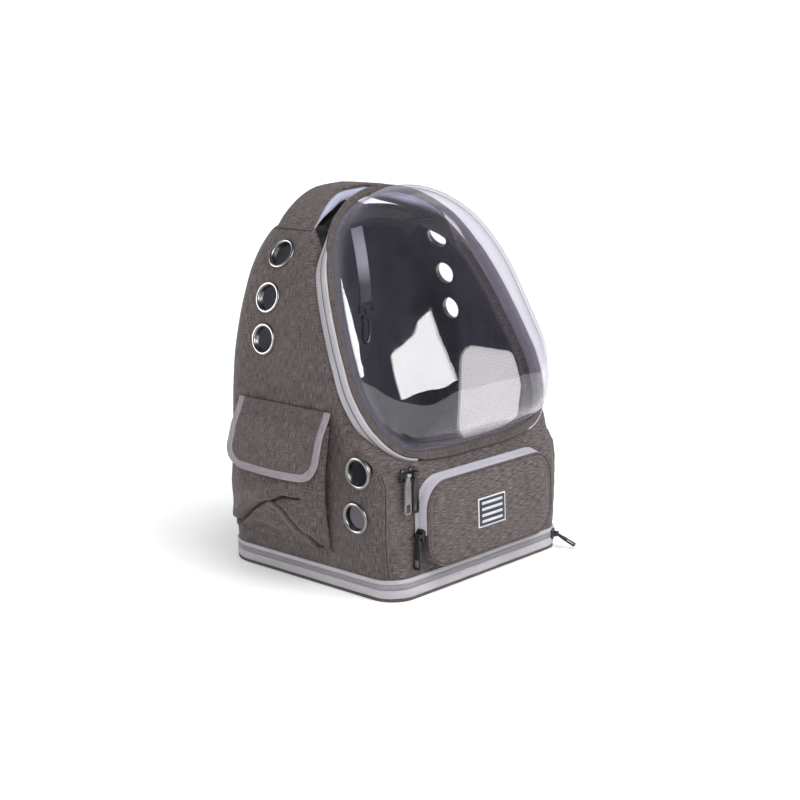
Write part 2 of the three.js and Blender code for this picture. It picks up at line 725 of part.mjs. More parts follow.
function addSidePocket() {
  const pouch = pocketBlock(0, sidePocketTop, clearance);
  const inside = pocketBlock(sidePocketWall, sidePocketTop + 4, -6);
  add('side_pocket', geometryOf(pouch.subtract(inside)), cloth);

  // The flap hangs from its seam over the pouch, with two round lower corners.
  const middle = (sidePocketFront + sidePocketBack) / 2;
  const halfWidth = (sidePocketBack - sidePocketFront) / 2;
  const point = (across, drop, out) => {
    const z = flapTop - drop;
    const along = 0.5 + across / (2 * halfWidth);
    const onPouch = puffAt(THREE.MathUtils.clamp(along, 0.12, 0.88), pocketShare(z)) + 2;
    const stand = mix(1, onPouch, smooth(0, flapTop - sidePocketTop, drop)) + (flapKick * drop) / flapLength;
    return [-sideX(z) - clearance - stand - out, middle + across, z];
  };
  const inset = flapBindingWidth + 2 * clearance;
  const length = flapLength - inset;
  const radius = flapCorner - inset;
  const rows = [0, 0.1, 0.25, 0.5, 0.75].map((share) => share * (length - radius));
  rows.push(length - radius, length - radius * 0.5, length - radius * 0.15, length);
  const steps = 6;
  add('pocket_flap', loft(rows.map((drop) => {
    const below = Math.max(drop - (length - radius), 0);
    const half = halfWidth - inset - radius + Math.sqrt(Math.max(radius ** 2 - below ** 2, 0));
    const line = (out) => Array.from(
      { length: steps + 1 },
      (_, i) => point(mix(-half, half, i / steps), drop, out),
    );
    return [...line(0), ...line(flapThickness).reverse()];
  }), 'ladder'), cloth);
  const edge = (offset) => {
    const half = halfWidth - offset;
    const foot = flapLength - offset;
    const round = flapCorner - offset;
    const straight = [0, 0.1, 0.25, 0.5, 0.75].map((share) => [half, share * (foot - round)]);
    const turn = [0, 0.25, 0.5, 0.75, 1].map((share) => {
      const angle = (share * Math.PI) / 2;
      return [half - round + round * Math.cos(angle), foot - round + round * Math.sin(angle)];
    });
    const bottom = [1 / 3, -1 / 3].map((share) => [share * (half - round), foot]);
    const side = [...straight, ...turn];
    return [...side, ...bottom, ...side.map(([across, drop]) => [-across, drop]).reverse()];
  };
  const innerEdge = edge(flapBindingWidth);
  add('flap_binding', loft(edge(0).map(([across, drop], i) => {
    const [innerAcross, innerDrop] = innerEdge[i];
    return [
      point(across, drop, -0.5),
      point(innerAcross, innerDrop, -0.5),
      point(innerAcross, innerDrop, flapThickness + 0.5),
      point(across, drop, flapThickness + 0.5),
    ];
  })), bindingCloth);
}

// Window binding

function addWindowBinding() {
  const skin = bodySolid(clearance + tapeThickness).subtract(bodySolid(clearance));
  const frame = windowPrism(windowBindingWidth).subtract(windowPrism(-2));
  add('window_binding', geometryOf(skin.intersect(frame)), greyTape);
}

// Carry handle

// The share of the outline at which it is half wide, above the middle of the body.
function outlineShareAcross(half) {
  let low = outlineShareAt(bodyHeight / 2);
  let high = 1;
  for (let i = 0; i < 30; i++) {
    const share = (low + high) / 2;
    if (outline.getPointAt(share).x > half) low = share;
    else high = share;
  }
  return low;
}

// An arched band that follows the outline over the top; outer and inner are its two faces' offsets.
function archedBand(halfSpan, steps, frontAt, backAt, outer, inner) {
  const from = outlineShareAcross(halfSpan);
  const ring = (share, sign) => {
    const at = outline.getPointAt(share);
    const normal = outlineNormal(share);
    const rise = (share - from) / (1 - from);
    const place = (y, out) => [sign * (at.x + normal.x * out), y, at.y + normal.y * out];
    const [front, back, top, under] = [frontAt(rise), backAt(rise), outer(rise), inner(rise)];
    return [
      place(front, under),
      place(front, mix(under, top, 0.7)),
      place(front + 5, top),
      place(back - 5, top),
      place(back, mix(under, top, 0.7)),
      place(back, under),
    ];
  };
  const shares = Array.from({ length: steps + 1 }, (_, i) => mix(from, 1, i / steps));
  const left = shares.map((share) => ring(share, -1));
  const right = shares.slice(0, -1).map((share) => ring(share, 1)).reverse();
  return loft([...left, ...right]);
}

function addHandle() {
  const front = (rise) => mix(handleFront.root, handleFront.top, smooth(0, 0.8, rise));
  const back = (rise) => mix(handleBack.root, handleBack.top, smooth(0, 0.8, rise));
  const top = () => handleProud;
  const under = (rise) => mix(clearance, handleProud - handleThickness, smooth(0.12, 0.5, rise));
  const clearOfShell = (band) => geometryOf(solid(band).subtract(bodySolid(clearance)).decompose()
    .sort((a, b) => b.volume() - a.volume())[0]);
  add('carry_handle', clearOfShell(archedBand(handleHalfSpan, 9, front, back, top, under)), cloth);
  const padTop = () => handleProud - handleThickness - clearance;
  const padUnder = (rise) => padTop() - mix(1.5, handlePadThickness, smooth(0, 0.25, rise));
  const pad = archedBand(handlePadHalfSpan, 8, (rise) => front(rise) + 8, (rise) => back(rise) + 1, padTop, padUnder);
  add('handle_pad', clearOfShell(pad), padMesh);
}

// Back pad and shoulder straps

// Middle lines, as shares of the back pad's half width, its length and the strap's reach.
const strapReach = 20;
const strapRows = [
  { across: 0.38, up: 1, out: 0.1, width: 0.9 },
  { across: 0.4, up: 0.985, out: 0.6, width: 0.95 },
  { across: 0.42, up: 0.93, out: 0.85, width: 1 },
  { across: 0.46, up: 0.78, out: 1, width: 1 },
  { across: 0.5, up: 0.6, out: 1, width: 1 },
  { across: 0.54, up: 0.42, out: 0.85, width: 0.9 },
  { across: 0.58, up: 0.28, out: 0.6, width: 0.7 },
];
const webbingRows = [
  { across: 0.6, up: 0.245, out: 0.5 },
  { across: 0.66, up: 0.14, out: 0.36 },
  { across: 0.73, up: 0.02, out: 0.2 },
  { across: 0.8, up: -0.1, out: 0.05 },
];

// A flat band along a middle line, from one share of its length to another.
function ribbon(rows, side, width, thickness, lift, from = 0, to = 1) {
  const base = backPadThickness + clearance + lift;
  const place = (row) => new THREE.Vector3(...onBack(
    side * row.across * backPadHalfWidth,
    backPadBottom + row.up * backPadLength,
    base + row.out * strapReach,
  ));
  const curve = new THREE.CatmullRomCurve3(rows.map(place), false, 'centripetal');
  const steps = Math.max(Math.round((rows.length - 1) * 1.5 * (to - from)), 2);
  const rings = Array.from({ length: steps + 1 }, (_, i) => {
    const share = mix(from, to, i / steps);
    const at = curve.getPoint(share);
    const along = curve.getTangent(share);
    const across = new THREE.Vector3(1, 0, 0).addScaledVector(along, -along.x).normalize();
    const out = new THREE.Vector3().crossVectors(across, along).normalize();
    const row = Math.min(Math.floor(share * (rows.length - 1)), rows.length - 2);
    const blend = share * (rows.length - 1) - row;
    const wide = (mix(rows[row].width ?? 1, rows[row + 1].width ?? 1, blend) * width) / 2;
    const edge = wide - Math.min(thickness / 2, wide * 0.2);
    const section = [[-wide, 0], [-edge, -0.5], [edge, -0.5], [wide, 0], [edge, 0.5], [-edge, 0.5]];
    return section.map(([x, t]) => at.clone()
      .addScaledVector(across, x)
      .addScaledVector(out, t * thickness)
      .toArray());
  });
  return loft(rings);
}

function addStraps() {
  const padRing = (inset, out) => roundedRectangle(
    2 * (backPadHalfWidth - inset),
    backPadLength - 2 * inset,
    backPadCorner - inset,
    4,
  ).map(([x, up]) => onBack(x, backPadBottom + backPadLength / 2 + up, out));
  add('back_pad', loft([
    padRing(0, clearance),
    padRing(0, backPadThickness * 0.6),
    padRing(3, backPadThickness),
    padRing(30, backPadThickness - 1),
  ]), blackCloth);
  const lift = strapThickness / 2 + 1;
  for (const [side, word] of [[-1, 'left'], [1, 'right']]) {
    add(`shoulder_strap_${word}`, ribbon(strapRows, side, strapWidth, strapThickness, lift), blackCloth);
    const webbing = (extra, from, to) => solid(ribbon(
      webbingRows,
      side,
      webbingWidth + 2 * extra,
      webbingThickness + 2 * extra,
      lift,
      from,
      to,
    ));
    add(`strap_webbing_${word}`, geometryOf(webbing(0, 0, 1)), blackCloth);
    const plate = solid(ribbon(
      webbingRows,
      side,
      webbingWidth + 2 * (adjusterMargin + clearance),
      webbingThickness + 2 * (adjusterPlate + clearance),
      lift,
      0.1,
      0.3,
    ));
    add(`strap_adjuster_${word}`, geometryOf(plate.subtract(webbing(2 * clearance, 0, 0.5))), blackPlastic);
  }
}

// Sliders and pulls: the pin lies along X, the zip's surface is at y = 0, and -Y is outward.

const disc = (radius, halfLength, sides = 8) => new THREE.CylinderGeometry(radius, radius, 2 * halfLength, sides)
  .rotateZ(Math.PI / 2);

function sliderGeometry() {
  const outline = roundedRectangle(2 * sliderHalfWidth, 2 * sliderHalfLength, 2.5, 1);
  const plate = (inset, y) => outline.map(([x, z]) => [x * (1 - inset), y, z * (1 - inset)]);
  const block = solid(loft([plate(0, -clearance), plate(0, -sliderHeight + 1), plate(0.14, -sliderHeight)]));
  const earInner = pullBarrelHalf + 0.5;
  const earOuter = sliderHalfWidth - 1;
  const ears = [-1, 1].map((side) => solid(box(
    [side > 0 ? earInner : -earOuter, -pinHeight - 1.6, -2.2],
    [side > 0 ? earOuter : -earInner, -sliderHeight + 0.6, 2.2],
  )));
  const pin = solid(disc(pinRadius, earInner + 0.5, 8).translate(0, -pinHeight, 0));
  return geometryOf([block, ...ears, pin].reduce((left, right) => left.add(right)));
}

// The pull's own origin is its pin, and it hangs down -Z.
function pullGeometry(length) {
  const neck = pullBarrelHalf - 0.2;
  const shape = new THREE.Shape();
  shape.moveTo(-neck, -pullBarrel + 0.6);
  shape.lineTo(neck, -pullBarrel + 0.6);
  shape.lineTo(neck, -6);
  shape.lineTo(pullHalfWidth - 1, -8.5);
  shape.lineTo(pullHalfWidth, -length + 2);
  shape.lineTo(pullHalfWidth - 1.5, -length);
  shape.lineTo(-pullHalfWidth + 1.5, -length);
  shape.lineTo(-pullHalfWidth, -length + 2);
  shape.lineTo(-pullHalfWidth + 1, -8.5);
  shape.lineTo(-neck, -6);
  const slot = new THREE.Path();
  const slotHalf = pullHalfWidth - 2.2;
  slot.moveTo(-slotHalf, -length + 3);
  slot.lineTo(slotHalf, -length + 3);
  slot.lineTo(slotHalf, -length + 12);
  slot.lineTo(-slotHalf, -length + 12);
  shape.holes.push(slot);
  const plate = new THREE.ExtrudeGeometry(shape, { depth: pullThickness, bevelEnabled: false })
    .translate(0, 0, -pullThickness / 2)
    .rotateX(Math.PI / 2);
  const barrel = solid(disc(pullBarrel, pullBarrelHalf)).subtract(solid(disc(pullBore, pullBarrelHalf + 1)));
  return geometryOf(solid(plate).subtract(solid(disc(pullBore, pullBarrelHalf + 1))).add(barrel));
}

// A slider with its pull: the holder's -Y axis faces out of the zip.
function addZipEnd(name, position, turn, rest, length, material) {
  const holder = new THREE.Group();
  holder.position.set(...position);
  holder.rotation.z = turn;
  group.add(holder);
  add(`${name}_slider`, sliderGeometry(), blackPlastic, holder);
  const pull = add(`${name}_pull`, pullGeometry(length), material, holder);
  pull.position.set(0, -pinHeight, 0);
  pull.rotation.x = -rest;
}

// Tether with a swivel snap hook

function addTether() {
  const top = new THREE.Vector3(tetherTop.x, tetherTop.y, tetherTop.z);
  const end = new THREE.Vector3(tetherEnd.x, tetherEnd.y, tetherEnd.z);
  const along = end.clone().sub(top).normalize();
  const across = new THREE.Vector3(1, 0, 0).addScaledVector(along, -along.x).normalize();
  const out = new THREE.Vector3().crossVectors(across, along);
  const section = (at) => [[-1, -1], [1, -1], [1, 1], [-1, 1]].map(([x, t]) => at.clone()
    .addScaledVector(across, (x * tetherWidth) / 2)
    .addScaledVector(out, (t * tetherThickness) / 2)
    .toArray());
  add('tether_strap', loft([section(top), section(end)]), blackCloth);

  // The ring hangs plumb from the strap's loop, and its lower bar holds the swivel.
  const ring = new THREE.Group();
  ring.position.copy(end).add(new THREE.Vector3(1, 0, -ringBar / 2 - clearance - 1.4));
  group.add(ring);
  const ringHalf = tetherWidth / 2 + ringBar;
  const drop = ringOpening + ringBar;
  const frame = [
    box([-ringHalf, -1.6, -ringBar / 2], [ringHalf, 1.6, ringBar / 2]),
    box([-ringHalf, -1.6, -drop], [-ringHalf + ringBar, 1.6, 0]),
    box([ringHalf - ringBar, -1.6, -drop], [ringHalf, 1.6, 0]),
    box([-ringHalf, -1.6, -drop - ringBar / 2], [ringHalf, 1.6, -drop + ringBar / 2]),
    new THREE.CylinderGeometry(4.2, 4.2, 4, 12).rotateX(Math.PI / 2).translate(0, 0, -drop),
  ].map(solid).reduce((left, right) => left.add(right));
  const bore = solid(new THREE.CylinderGeometry(swivelBore, swivelBore, 12, 12).rotateX(Math.PI / 2).translate(0, 0, -drop));
  add('tether_ring', geometryOf(frame.subtract(bore)), blackPlastic, ring);

  const hook = new THREE.Group();
  hook.position.set(0, 0, -drop);
  ring.add(hook);
  const post = new THREE.CylinderGeometry(swivelPost, swivelPost, 10, 10).rotateX(Math.PI / 2).translate(0, 0, -1.6);
  const head = new THREE.CylinderGeometry(3.2, 3.2, 1.6, 10).rotateX(Math.PI / 2).translate(0, 0, 3.3);
  const half = hookWidth / 2;
  const path = new THREE.CatmullRomCurve3([
    [0, -5], [half * 0.7, -9], [half, -16], [half, -hookLength + 9], [half * 0.55, -hookLength + 2.5],
    [0, -hookLength], [-half * 0.55, -hookLength + 2.5], [-half, -hookLength + 9],
  ].map(([x, z]) => new THREE.Vector3(x, 0, z)));
  const wire = new THREE.Shape(Array.from({ length: 6 }, (_, i) => new THREE.Vector2(
    hookWire * Math.cos((i / 3) * Math.PI),
    hookWire * Math.sin((i / 3) * Math.PI),
  )));
  const bow = new THREE.ExtrudeGeometry(wire, { steps: 12, extrudePath: path, bevelEnabled: false });
  const shoulder = box([-half - 1, -2, -9], [half * 0.6, 2, -4]);
  const body = [post, head, bow, shoulder].map(solid).reduce((left, right) => left.add(right));
  add('snap_hook', geometryOf(body), blackPlastic, hook);
  const gate = box([-1.4, -1.7, -(hookLength - 9 - 10.2 - 1.5)], [1.4, 1.7, 0]);
  const latch = add('hook_gate', gate, blackPlastic, hook);
  latch.position.set(-half + 0.4, 0, -10.2);
}

addShell();
addBase();
addDoor();
addFrontPocket();
addSidePocket();
addWindowBinding();
addHandle();
addStraps();
for (const { name, place } of eyeletPlaces) add(name, eyelet(place), nickel);
addTether();

const doorPullY = frontY(panelHeight) - clearance - tapeThickness;
addZipEnd('door_left', [-136, doorPullY, doorSill - 4], 0, 0, pullLength, nickel);
addZipEnd('door_right', [-123, doorPullY, doorSill - 4], 0, 0, pullLength, blackPlastic);

const pocketPullX = -pocketHalfWidth - 2 * clearance - tapeThickness;
const pocketPullY = onFront(0, pocketMiddle, clearance + pocketDepth - 10)[1];
addZipEnd('pocket', [pocketPullX, pocketPullY, pocketMiddle - 8], -Math.PI / 2, 0, pocketPullLength, blackPlastic);

// The base zip ends on the flat between the first two columns of the right front corner.
const baseTurn = corner[1] / 2;
const baseZipZ = basePanelThickness + 2 * clearance + baseTapeHeight + baseZipHeight / 2;
const baseReach = (baseCornerRadius + clearance + tapeThickness) * Math.cos(baseTurn) + clearance;
addZipEnd('base', [
  sideX(baseZipZ) - baseCornerRadius + baseReach * Math.sin(baseTurn),
  frontY(baseZipZ) + baseCornerRadius - baseReach * Math.cos(baseTurn),
  baseZipZ,
], baseTurn, basePullRest, basePullLength, blackPlastic);

export default group;
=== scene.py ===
"""Looks for the bubble backpack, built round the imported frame.

Shapes are worked out in millimetres, in the frame's axes: X to the wearer's right,
Y from the door to the back, Z up. They become metres when a mesh is made.
"""

import math

import bmesh
import bpy
import numpy as np
from mathutils import Matrix, Vector, noise


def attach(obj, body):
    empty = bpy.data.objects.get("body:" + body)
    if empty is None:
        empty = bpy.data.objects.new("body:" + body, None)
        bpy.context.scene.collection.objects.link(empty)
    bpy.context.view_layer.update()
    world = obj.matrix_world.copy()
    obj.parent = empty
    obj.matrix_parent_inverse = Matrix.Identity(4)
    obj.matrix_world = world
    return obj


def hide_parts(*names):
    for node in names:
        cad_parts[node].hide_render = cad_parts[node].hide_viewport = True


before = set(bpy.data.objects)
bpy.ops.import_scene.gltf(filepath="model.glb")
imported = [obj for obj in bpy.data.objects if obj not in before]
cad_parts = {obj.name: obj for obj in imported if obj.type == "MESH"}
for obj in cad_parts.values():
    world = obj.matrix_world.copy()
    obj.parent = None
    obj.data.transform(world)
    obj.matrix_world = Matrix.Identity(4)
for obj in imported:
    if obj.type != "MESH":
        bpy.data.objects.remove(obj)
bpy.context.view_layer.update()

# Sizes shared with the solids
HALF_WIDTH = 174
HEIGHT = 448
DEPTH = 280
WALL = 3
CLEAR = 0.3
INNER_FACE = 4.6
BACK_LEAN = 0.065
BACK_CORNER = 42
BASE_CORNER = 30
FRONT_CORNER = 36
DOOR_EDGE = 8
TROUGH = 42
SHOULDER = 118
BASE_THICK = 5
BAND_TOP = 26.2
PANEL_TOP = 138
PANEL_SETBACK = 6
SILL = 150
SILL_Y = -128
DOOR_SLOPE = 0.5
LEAN = math.atan(DOOR_SLOPE)
PINCH = 9
FRAME_DEPTH = 17
RIM_HALF = 157
RIM_LENGTH = 313
RIM_LIFT = 12
RIM_LEVEL = SILL_Y * math.cos(LEAN) - SILL * math.sin(LEAN)
RIM_MIDDLE = RIM_LIFT + RIM_LENGTH * 0.48
BINDING = 12.5
HINGE_HALF = 100
DOME_HEIGHT = 74
DOME_BULGE = 7
POCKET_HALF = 113
POCKET_BOTTOM = 34
POCKET_HEIGHT = 97
POCKET_MIDDLE = POCKET_BOTTOM + POCKET_HEIGHT / 2
POCKET_CORNER = 32
LABEL_X = -8
SIDE_FRONT = -62
SIDE_BACK = 86
SIDE_BOTTOM = 48
SIDE_TOP = 196
SIDE_PUFF = 29
SIDE_FRONT_TAPER = 14
SIDE_BACK_TAPER = 24
WINDOW_MIDDLE = np.array([-11, 168])
WINDOW_WIDTH = 106
WINDOW_HEIGHT = 132
WINDOW_CORNER = 26
FLAP_TOP = 211
FLAP_LENGTH = 78
FLAP_CORNER = 26
PAD_HALF = 112
PAD_BOTTOM = 60
PAD_LENGTH = 330
STRAP_WIDTH = 58
STRAP_REACH = 20
PAD_FACE = 9.3
STRAP_LIFT = 5.5

# Across and up, as shares of the half width and the height
OUTLINE_ROWS = [
    (0.89, 0), (0.955, 0.2), (0.995, 0.43), (0.985, 0.6), (0.92, 0.725),
    (0.83, 0.82), (0.7, 0.892), (0.51, 0.952), (0.27, 0.989), (0, 1),
]
RIM_ROWS = [
    (0, 0), (0.42, 0.004), (0.76, 0.035), (0.93, 0.125), (1, 0.25), (0.985, 0.37),
    (0.945, 0.5), (0.885, 0.63), (0.79, 0.755), (0.65, 0.865), (0.4, 0.955), (0.14, 0.995),
]
# Y and Z of each eyelet's middle
LEFT_EYELETS = [(50, 377), (53, 328), (50, 281), (-99, 148), (-91, 94)]
RIGHT_EYELETS = [(50, 377), (53, 328), (50, 281)]


# Small helpers

def smooth(low, high, value):
    t = np.clip((value - low) / (high - low), 0, 1)
    return t * t * (3 - 2 * t)


def mix(a, b, t):
    return a + (b - a) * t


def wave(x, y, z, scale, seed=0.0):
    """Smooth noise from -1 to 1 at a point, with features about scale millimetres long."""
    return noise.noise(Vector((x / scale + seed, y / scale - seed, z / scale + 0.5 * seed)))


def waves(points, scale, seed=0.0):
    return np.array([wave(*p, scale, seed) for p in points])


# Curves

def through(points, closed=False, power=0.5, per=60):
    """A dense line through points: Catmull-Rom, centripetal at power 0.5 and uniform at 0."""
    pts = np.array(points, float)
    count = len(pts)
    dense = []
    for i in range(count if closed else count - 1):
        b = pts[i]
        c = pts[(i + 1) % count]
        a = pts[i - 1] if closed or i else (b if power == 0 else 2 * b - c)
        last = i + 2 >= count and not closed
        d = (c if power == 0 else 2 * c - b) if last else pts[(i + 2) % count]
        gaps = [max(np.linalg.norm(q - p), 1e-6) ** power for p, q in ((a, b), (b, c), (c, d))]
        one = (b - a) / gaps[0] - (c - a) / (gaps[0] + gaps[1]) + (c - b) / gaps[1]
        two = (c - b) / gaps[1] - (d - b) / (gaps[1] + gaps[2]) + (d - c) / gaps[2]
        one, two = one * gaps[1], two * gaps[1]
        t = np.arange(per)[:, None] / per
        dense.append(b + one * t + (3 * (c - b) - 2 * one - two) * t ** 2
                     + (2 * (b - c) + one + two) * t ** 3)
    if not closed:
        dense.append(pts[-1:])
    return np.concatenate(dense)


def even(line, count, closed=False):
    """count points evenly along a dense line, with the directions there."""
    if closed:
        line = np.concatenate([line, line[:1]])
    step = np.linalg.norm(np.diff(line, axis=0), axis=1)
    far = np.concatenate([[0], np.cumsum(step)])
    at = np.linspace(0, far[-1], count, endpoint=not closed)
    pick = lambda where: np.stack([np.interp(where, far, line[:, k]) for k in range(line.shape[1])], 1)
    small = far[-1] * 1e-3
    along = pick(np.clip(at + small, 0, far[-1])) - pick(np.clip(at - small, 0, far[-1]))
    if closed:
        along[0] = pick([small])[0] - pick([far[-1] - small])[0]
    return pick(at), along / np.linalg.norm(along, axis=1)[:, None]


OUTLINE, OUTLINE_ALONG = even(
    through([(a * HALF_WIDTH, u * HEIGHT) for a, u in OUTLINE_ROWS], power=0, per=200), 2001
)
SHARES = np.linspace(0, 1, 2001)


def outline_at(share):
    """Point and outward normal of the front outline: x, z, normal x, normal z."""
    pick = lambda values: np.interp(share, SHARES, values)
    return (pick(OUTLINE[:, 0]), pick(OUTLINE[:, 1]),
            pick(OUTLINE_ALONG[:, 1]), pick(-OUTLINE_ALONG[:, 0]))


def share_at(z):
    return np.interp(z, OUTLINE[:, 1], SHARES)


def side_x(z):
    return outline_at(share_at(z))[0]


# The body's form

def back_y(z):
    return DEPTH / 2 - BACK_LEAN * z


def rim_plane_y(z):
    return SILL_Y + DOOR_SLOPE * (z - SILL)


def front_y(z):
    seat = mix(1.5, FRAME_DEPTH, smooth(148, 212, z)) / math.cos(LEAN)
    return np.where(z < PANEL_TOP, -DEPTH / 2 + PANEL_SETBACK * z / PANEL_TOP, rim_plane_y(z) + seat)


def corner_radius(z):
    lower = mix(BASE_CORNER, FRONT_CORNER, smooth(BAND_TOP, PANEL_TOP, z))
    return mix(lower, DOOR_EDGE, smooth(PANEL_TOP, PANEL_TOP + 95, z))


def pinch(y, z):
    return PINCH * np.exp(-(((z - SILL) / 24) ** 2)) * smooth(80, 125, -y)


def trough(x, from_front, from_back):
    across = smooth(0, 0.3, 1 - np.abs(x) / SHOULDER)
    return TROUGH * across * mix(0.45, 1, smooth(0, 24, from_front)) * smooth(0, BACK_CORNER, from_back)


def column_at(part, turn, z, grow):
    """How far a column lies in from the outline, and its Y, at the heights z."""
    front, back, radius = front_y(z), back_y(z), corner_radius(z)
    if part == "front":
        slant = np.where(z > PANEL_TOP, 1 / math.cos(LEAN), 1)
        return (radius - (radius + grow) * math.sin(turn),
                front + radius - (radius + grow * slant) * math.cos(turn))
    if part == "back":
        return (BACK_CORNER - (BACK_CORNER + grow) * math.cos(turn),
                back - BACK_CORNER + (BACK_CORNER + grow) * math.sin(turn))
    return -grow + 0 * z, mix(front + radius, back - BACK_CORNER, turn)


def body_columns(corner_steps, middle_steps):
    quarter = [i / corner_steps * math.pi / 2 for i in range(corner_steps + 1)]
    middle = [i / middle_steps for i in range(1, middle_steps)]
    return ([("front", a) for a in quarter] + [("middle", s) for s in middle]
            + [("back", a) for a in quarter])


def body_rows(count):
    sharp = [float(share_at(z)) for z in (BAND_TOP, PANEL_TOP)]
    rest = [i / count for i in range(count + 1)]
    rest = [s for s in rest if all(abs(s - other) > 0.35 / count for other in sharp)]
    shares = np.array(sorted(rest + sharp))
    return shares, np.isin(shares, sharp)


def body_side(grow, rows=110, corner_steps=7, middle_steps=26, relief=None):
    """One half of the body's skin: an array of columns by rows of points."""
    shares, upright = body_rows(rows)
    x0, z0, nx, nz = outline_at(shares)
    nx[0], nz[0], nx[-1], nz[-1] = 1, 0, 0, 1
    columns = []
    for part, turn in body_columns(corner_steps, middle_steps):
        inset = column_at(part, turn, z0, grow)[0]
        x = np.maximum(x0 - nx * inset, 0)
        level = np.where(upright, z0, z0 - nz * inset)
        y = column_at(part, turn, level, grow)[1]
        bare = column_at(part, turn, level, 0)[1]
        z = level - trough(x0, bare - front_y(z0), back_y(z0) - bare)
        z[0] = BASE_THICK + CLEAR - grow
        x[-1] = 0
        columns.append(np.stack([x, y, z], 1))
    side = np.array(columns)
    if relief:
        normal = np.stack([nx, 0 * nx, nz], 1)[None]
        side = side + normal * relief(side)[..., None]
    return side


# Meshes

class Mesh:
    """Patches of points with texture places in millimetres, welded into one object."""

    def __init__(self):
        self.points, self.faces, self.places = [], [], []

    def grid(self, points, flip=False, origin=(0.0, 0.0)):
        """A patch of rows by columns of points."""
        points = np.array(points, float)
        rows, cols = points.shape[:2]
        base = len(self.points)
        self.points += points.reshape(-1, 3).tolist()
        u_step = np.linalg.norm(np.diff(points, axis=1), axis=2).mean(0)
        v_step = np.linalg.norm(np.diff(points, axis=0), axis=2).mean(1)
        u = origin[0] + np.concatenate([[0], np.cumsum(u_step)])
        v = origin[1] + np.concatenate([[0], np.cumsum(v_step)])
        for i in range(rows - 1):
            for j in range(cols - 1):
                loop = [(i, j), (i, j + 1), (i + 1, j + 1), (i + 1, j)]
                if flip:
                    loop.reverse()
                self.faces.append([base + a * cols + b for a, b in loop])
                self.places.append([(u[b], v[a]) for a, b in loop])

    def fan(self, ring):
        ring = np.array(ring, float)
        base = len(self.points)
        self.points += ring.tolist() + [ring.mean(0).tolist()]
        spread = np.ptp(ring, axis=0)
        keep = [k for k in range(3) if k != int(np.argmin(spread))]
        flat = [tuple(p[k] for k in keep) for p in self.points[base:]]
        for j in range(len(ring)):
            loop = [j, (j + 1) % len(ring), len(ring)]
            self.faces.append([base + a for a in loop])
            self.places.append([flat[a] for a in loop])

    def loft(self, rings, ends="fan", origin=(0.0, 0.0)):
        """Closed rings joined in order; ends is 'fan', 'open' or 'loop'."""
        rings = np.array(rings, float)
        if ends == "loop":
            rings = np.concatenate([rings, rings[:1]])
        self.grid(np.concatenate([rings, rings[:, :1]], axis=1), origin=origin)
        if ends == "fan":
            self.fan(rings[0])
            self.fan(rings[-1])

    def make(self, name, angle=40, weld=0.004):
        data = bpy.data.meshes.new(name)
        data.from_pydata((np.array(self.points) * 0.001).tolist(), [], self.faces)
        layer = data.uv_layers.new(name="UVMap")
        layer.data.foreach_set("uv", np.array([p for f in self.places for p in f], float).ravel())
        work = bmesh.new()
        work.from_mesh(data)
        bmesh.ops.remove_doubles(work, verts=work.verts, dist=weld * 0.001)
        thin = [f for f in work.faces if f.calc_area() < 1e-13]
        bmesh.ops.delete(work, geom=thin, context="FACES_ONLY")
        bmesh.ops.recalc_face_normals(work, faces=work.faces)
        work.to_mesh(data)
        work.free()
        obj = bpy.data.objects.new(name, data)
        bpy.context.scene.collection.objects.link(obj)
        shade(obj, angle)
        return obj


def lofted(name, rings, ends="fan", angle=40):
    mesh = Mesh()
    mesh.loft(rings, ends)
    return mesh.make(name, angle)


def shade(obj, angle=40):
    obj.data.polygons.foreach_set("use_smooth", [True] * len(obj.data.polygons))
    obj.data.set_sharp_from_angle(angle=math.radians(angle))


def apply_modifiers(obj):
    bpy.context.view_layer.update()
    depsgraph = bpy.context.evaluated_depsgraph_get()
    data = bpy.data.meshes.new_from_object(obj.evaluated_get(depsgraph))
    obj.modifiers.clear()
    obj.data = data
    return obj


def cut(obj, *tools):
    """Takes closed tools out of a closed object, and removes them."""
    for tool in tools:
        step = obj.modifiers.new("cut", "BOOLEAN")
        step.operation = "DIFFERENCE"
        step.solver = "MANIFOLD"
        step.object = tool
    apply_modifiers(obj)
    for tool in tools:
        bpy.data.objects.remove(tool)
    return obj


def box_places(obj):
    """Texture places in millimetres, seen along the axis that each face looks along most."""
    data = obj.data
    layer = data.uv_layers.get("UVMap") or data.uv_layers.new(name="UVMap")
    points = np.zeros(len(data.vertices) * 3)
    data.vertices.foreach_get("co", points)
    points = points.reshape(-1, 3) * 1000
    corners = np.zeros(len(data.loops), int)
    data.loops.foreach_get("vertex_index", corners)
    normals = np.zeros(len(data.polygons) * 3)
    data.polygons.foreach_get("normal", normals)
    sizes = np.zeros(len(data.polygons), int)
    data.polygons.foreach_get("loop_total", sizes)
    axis = np.repeat(np.abs(normals.reshape(-1, 3)).argmax(1), sizes)
    at = points[corners]
    u = np.where(axis == 0, at[:, 1], at[:, 0])
    v = np.where(axis == 2, at[:, 1], at[:, 2])
    layer.data.foreach_set("uv", np.stack([u, v], 1).ravel())
    return obj


def dress(obj, material, nodes, body="bag"):
    """Gives a piece its material, and says which solids it stands for and rides with."""
    obj.data.materials.clear()
    obj.data.materials.append(material)
    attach(obj, body)
    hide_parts(*([nodes] if isinstance(nodes, str) else nodes))
    return obj


# Materials

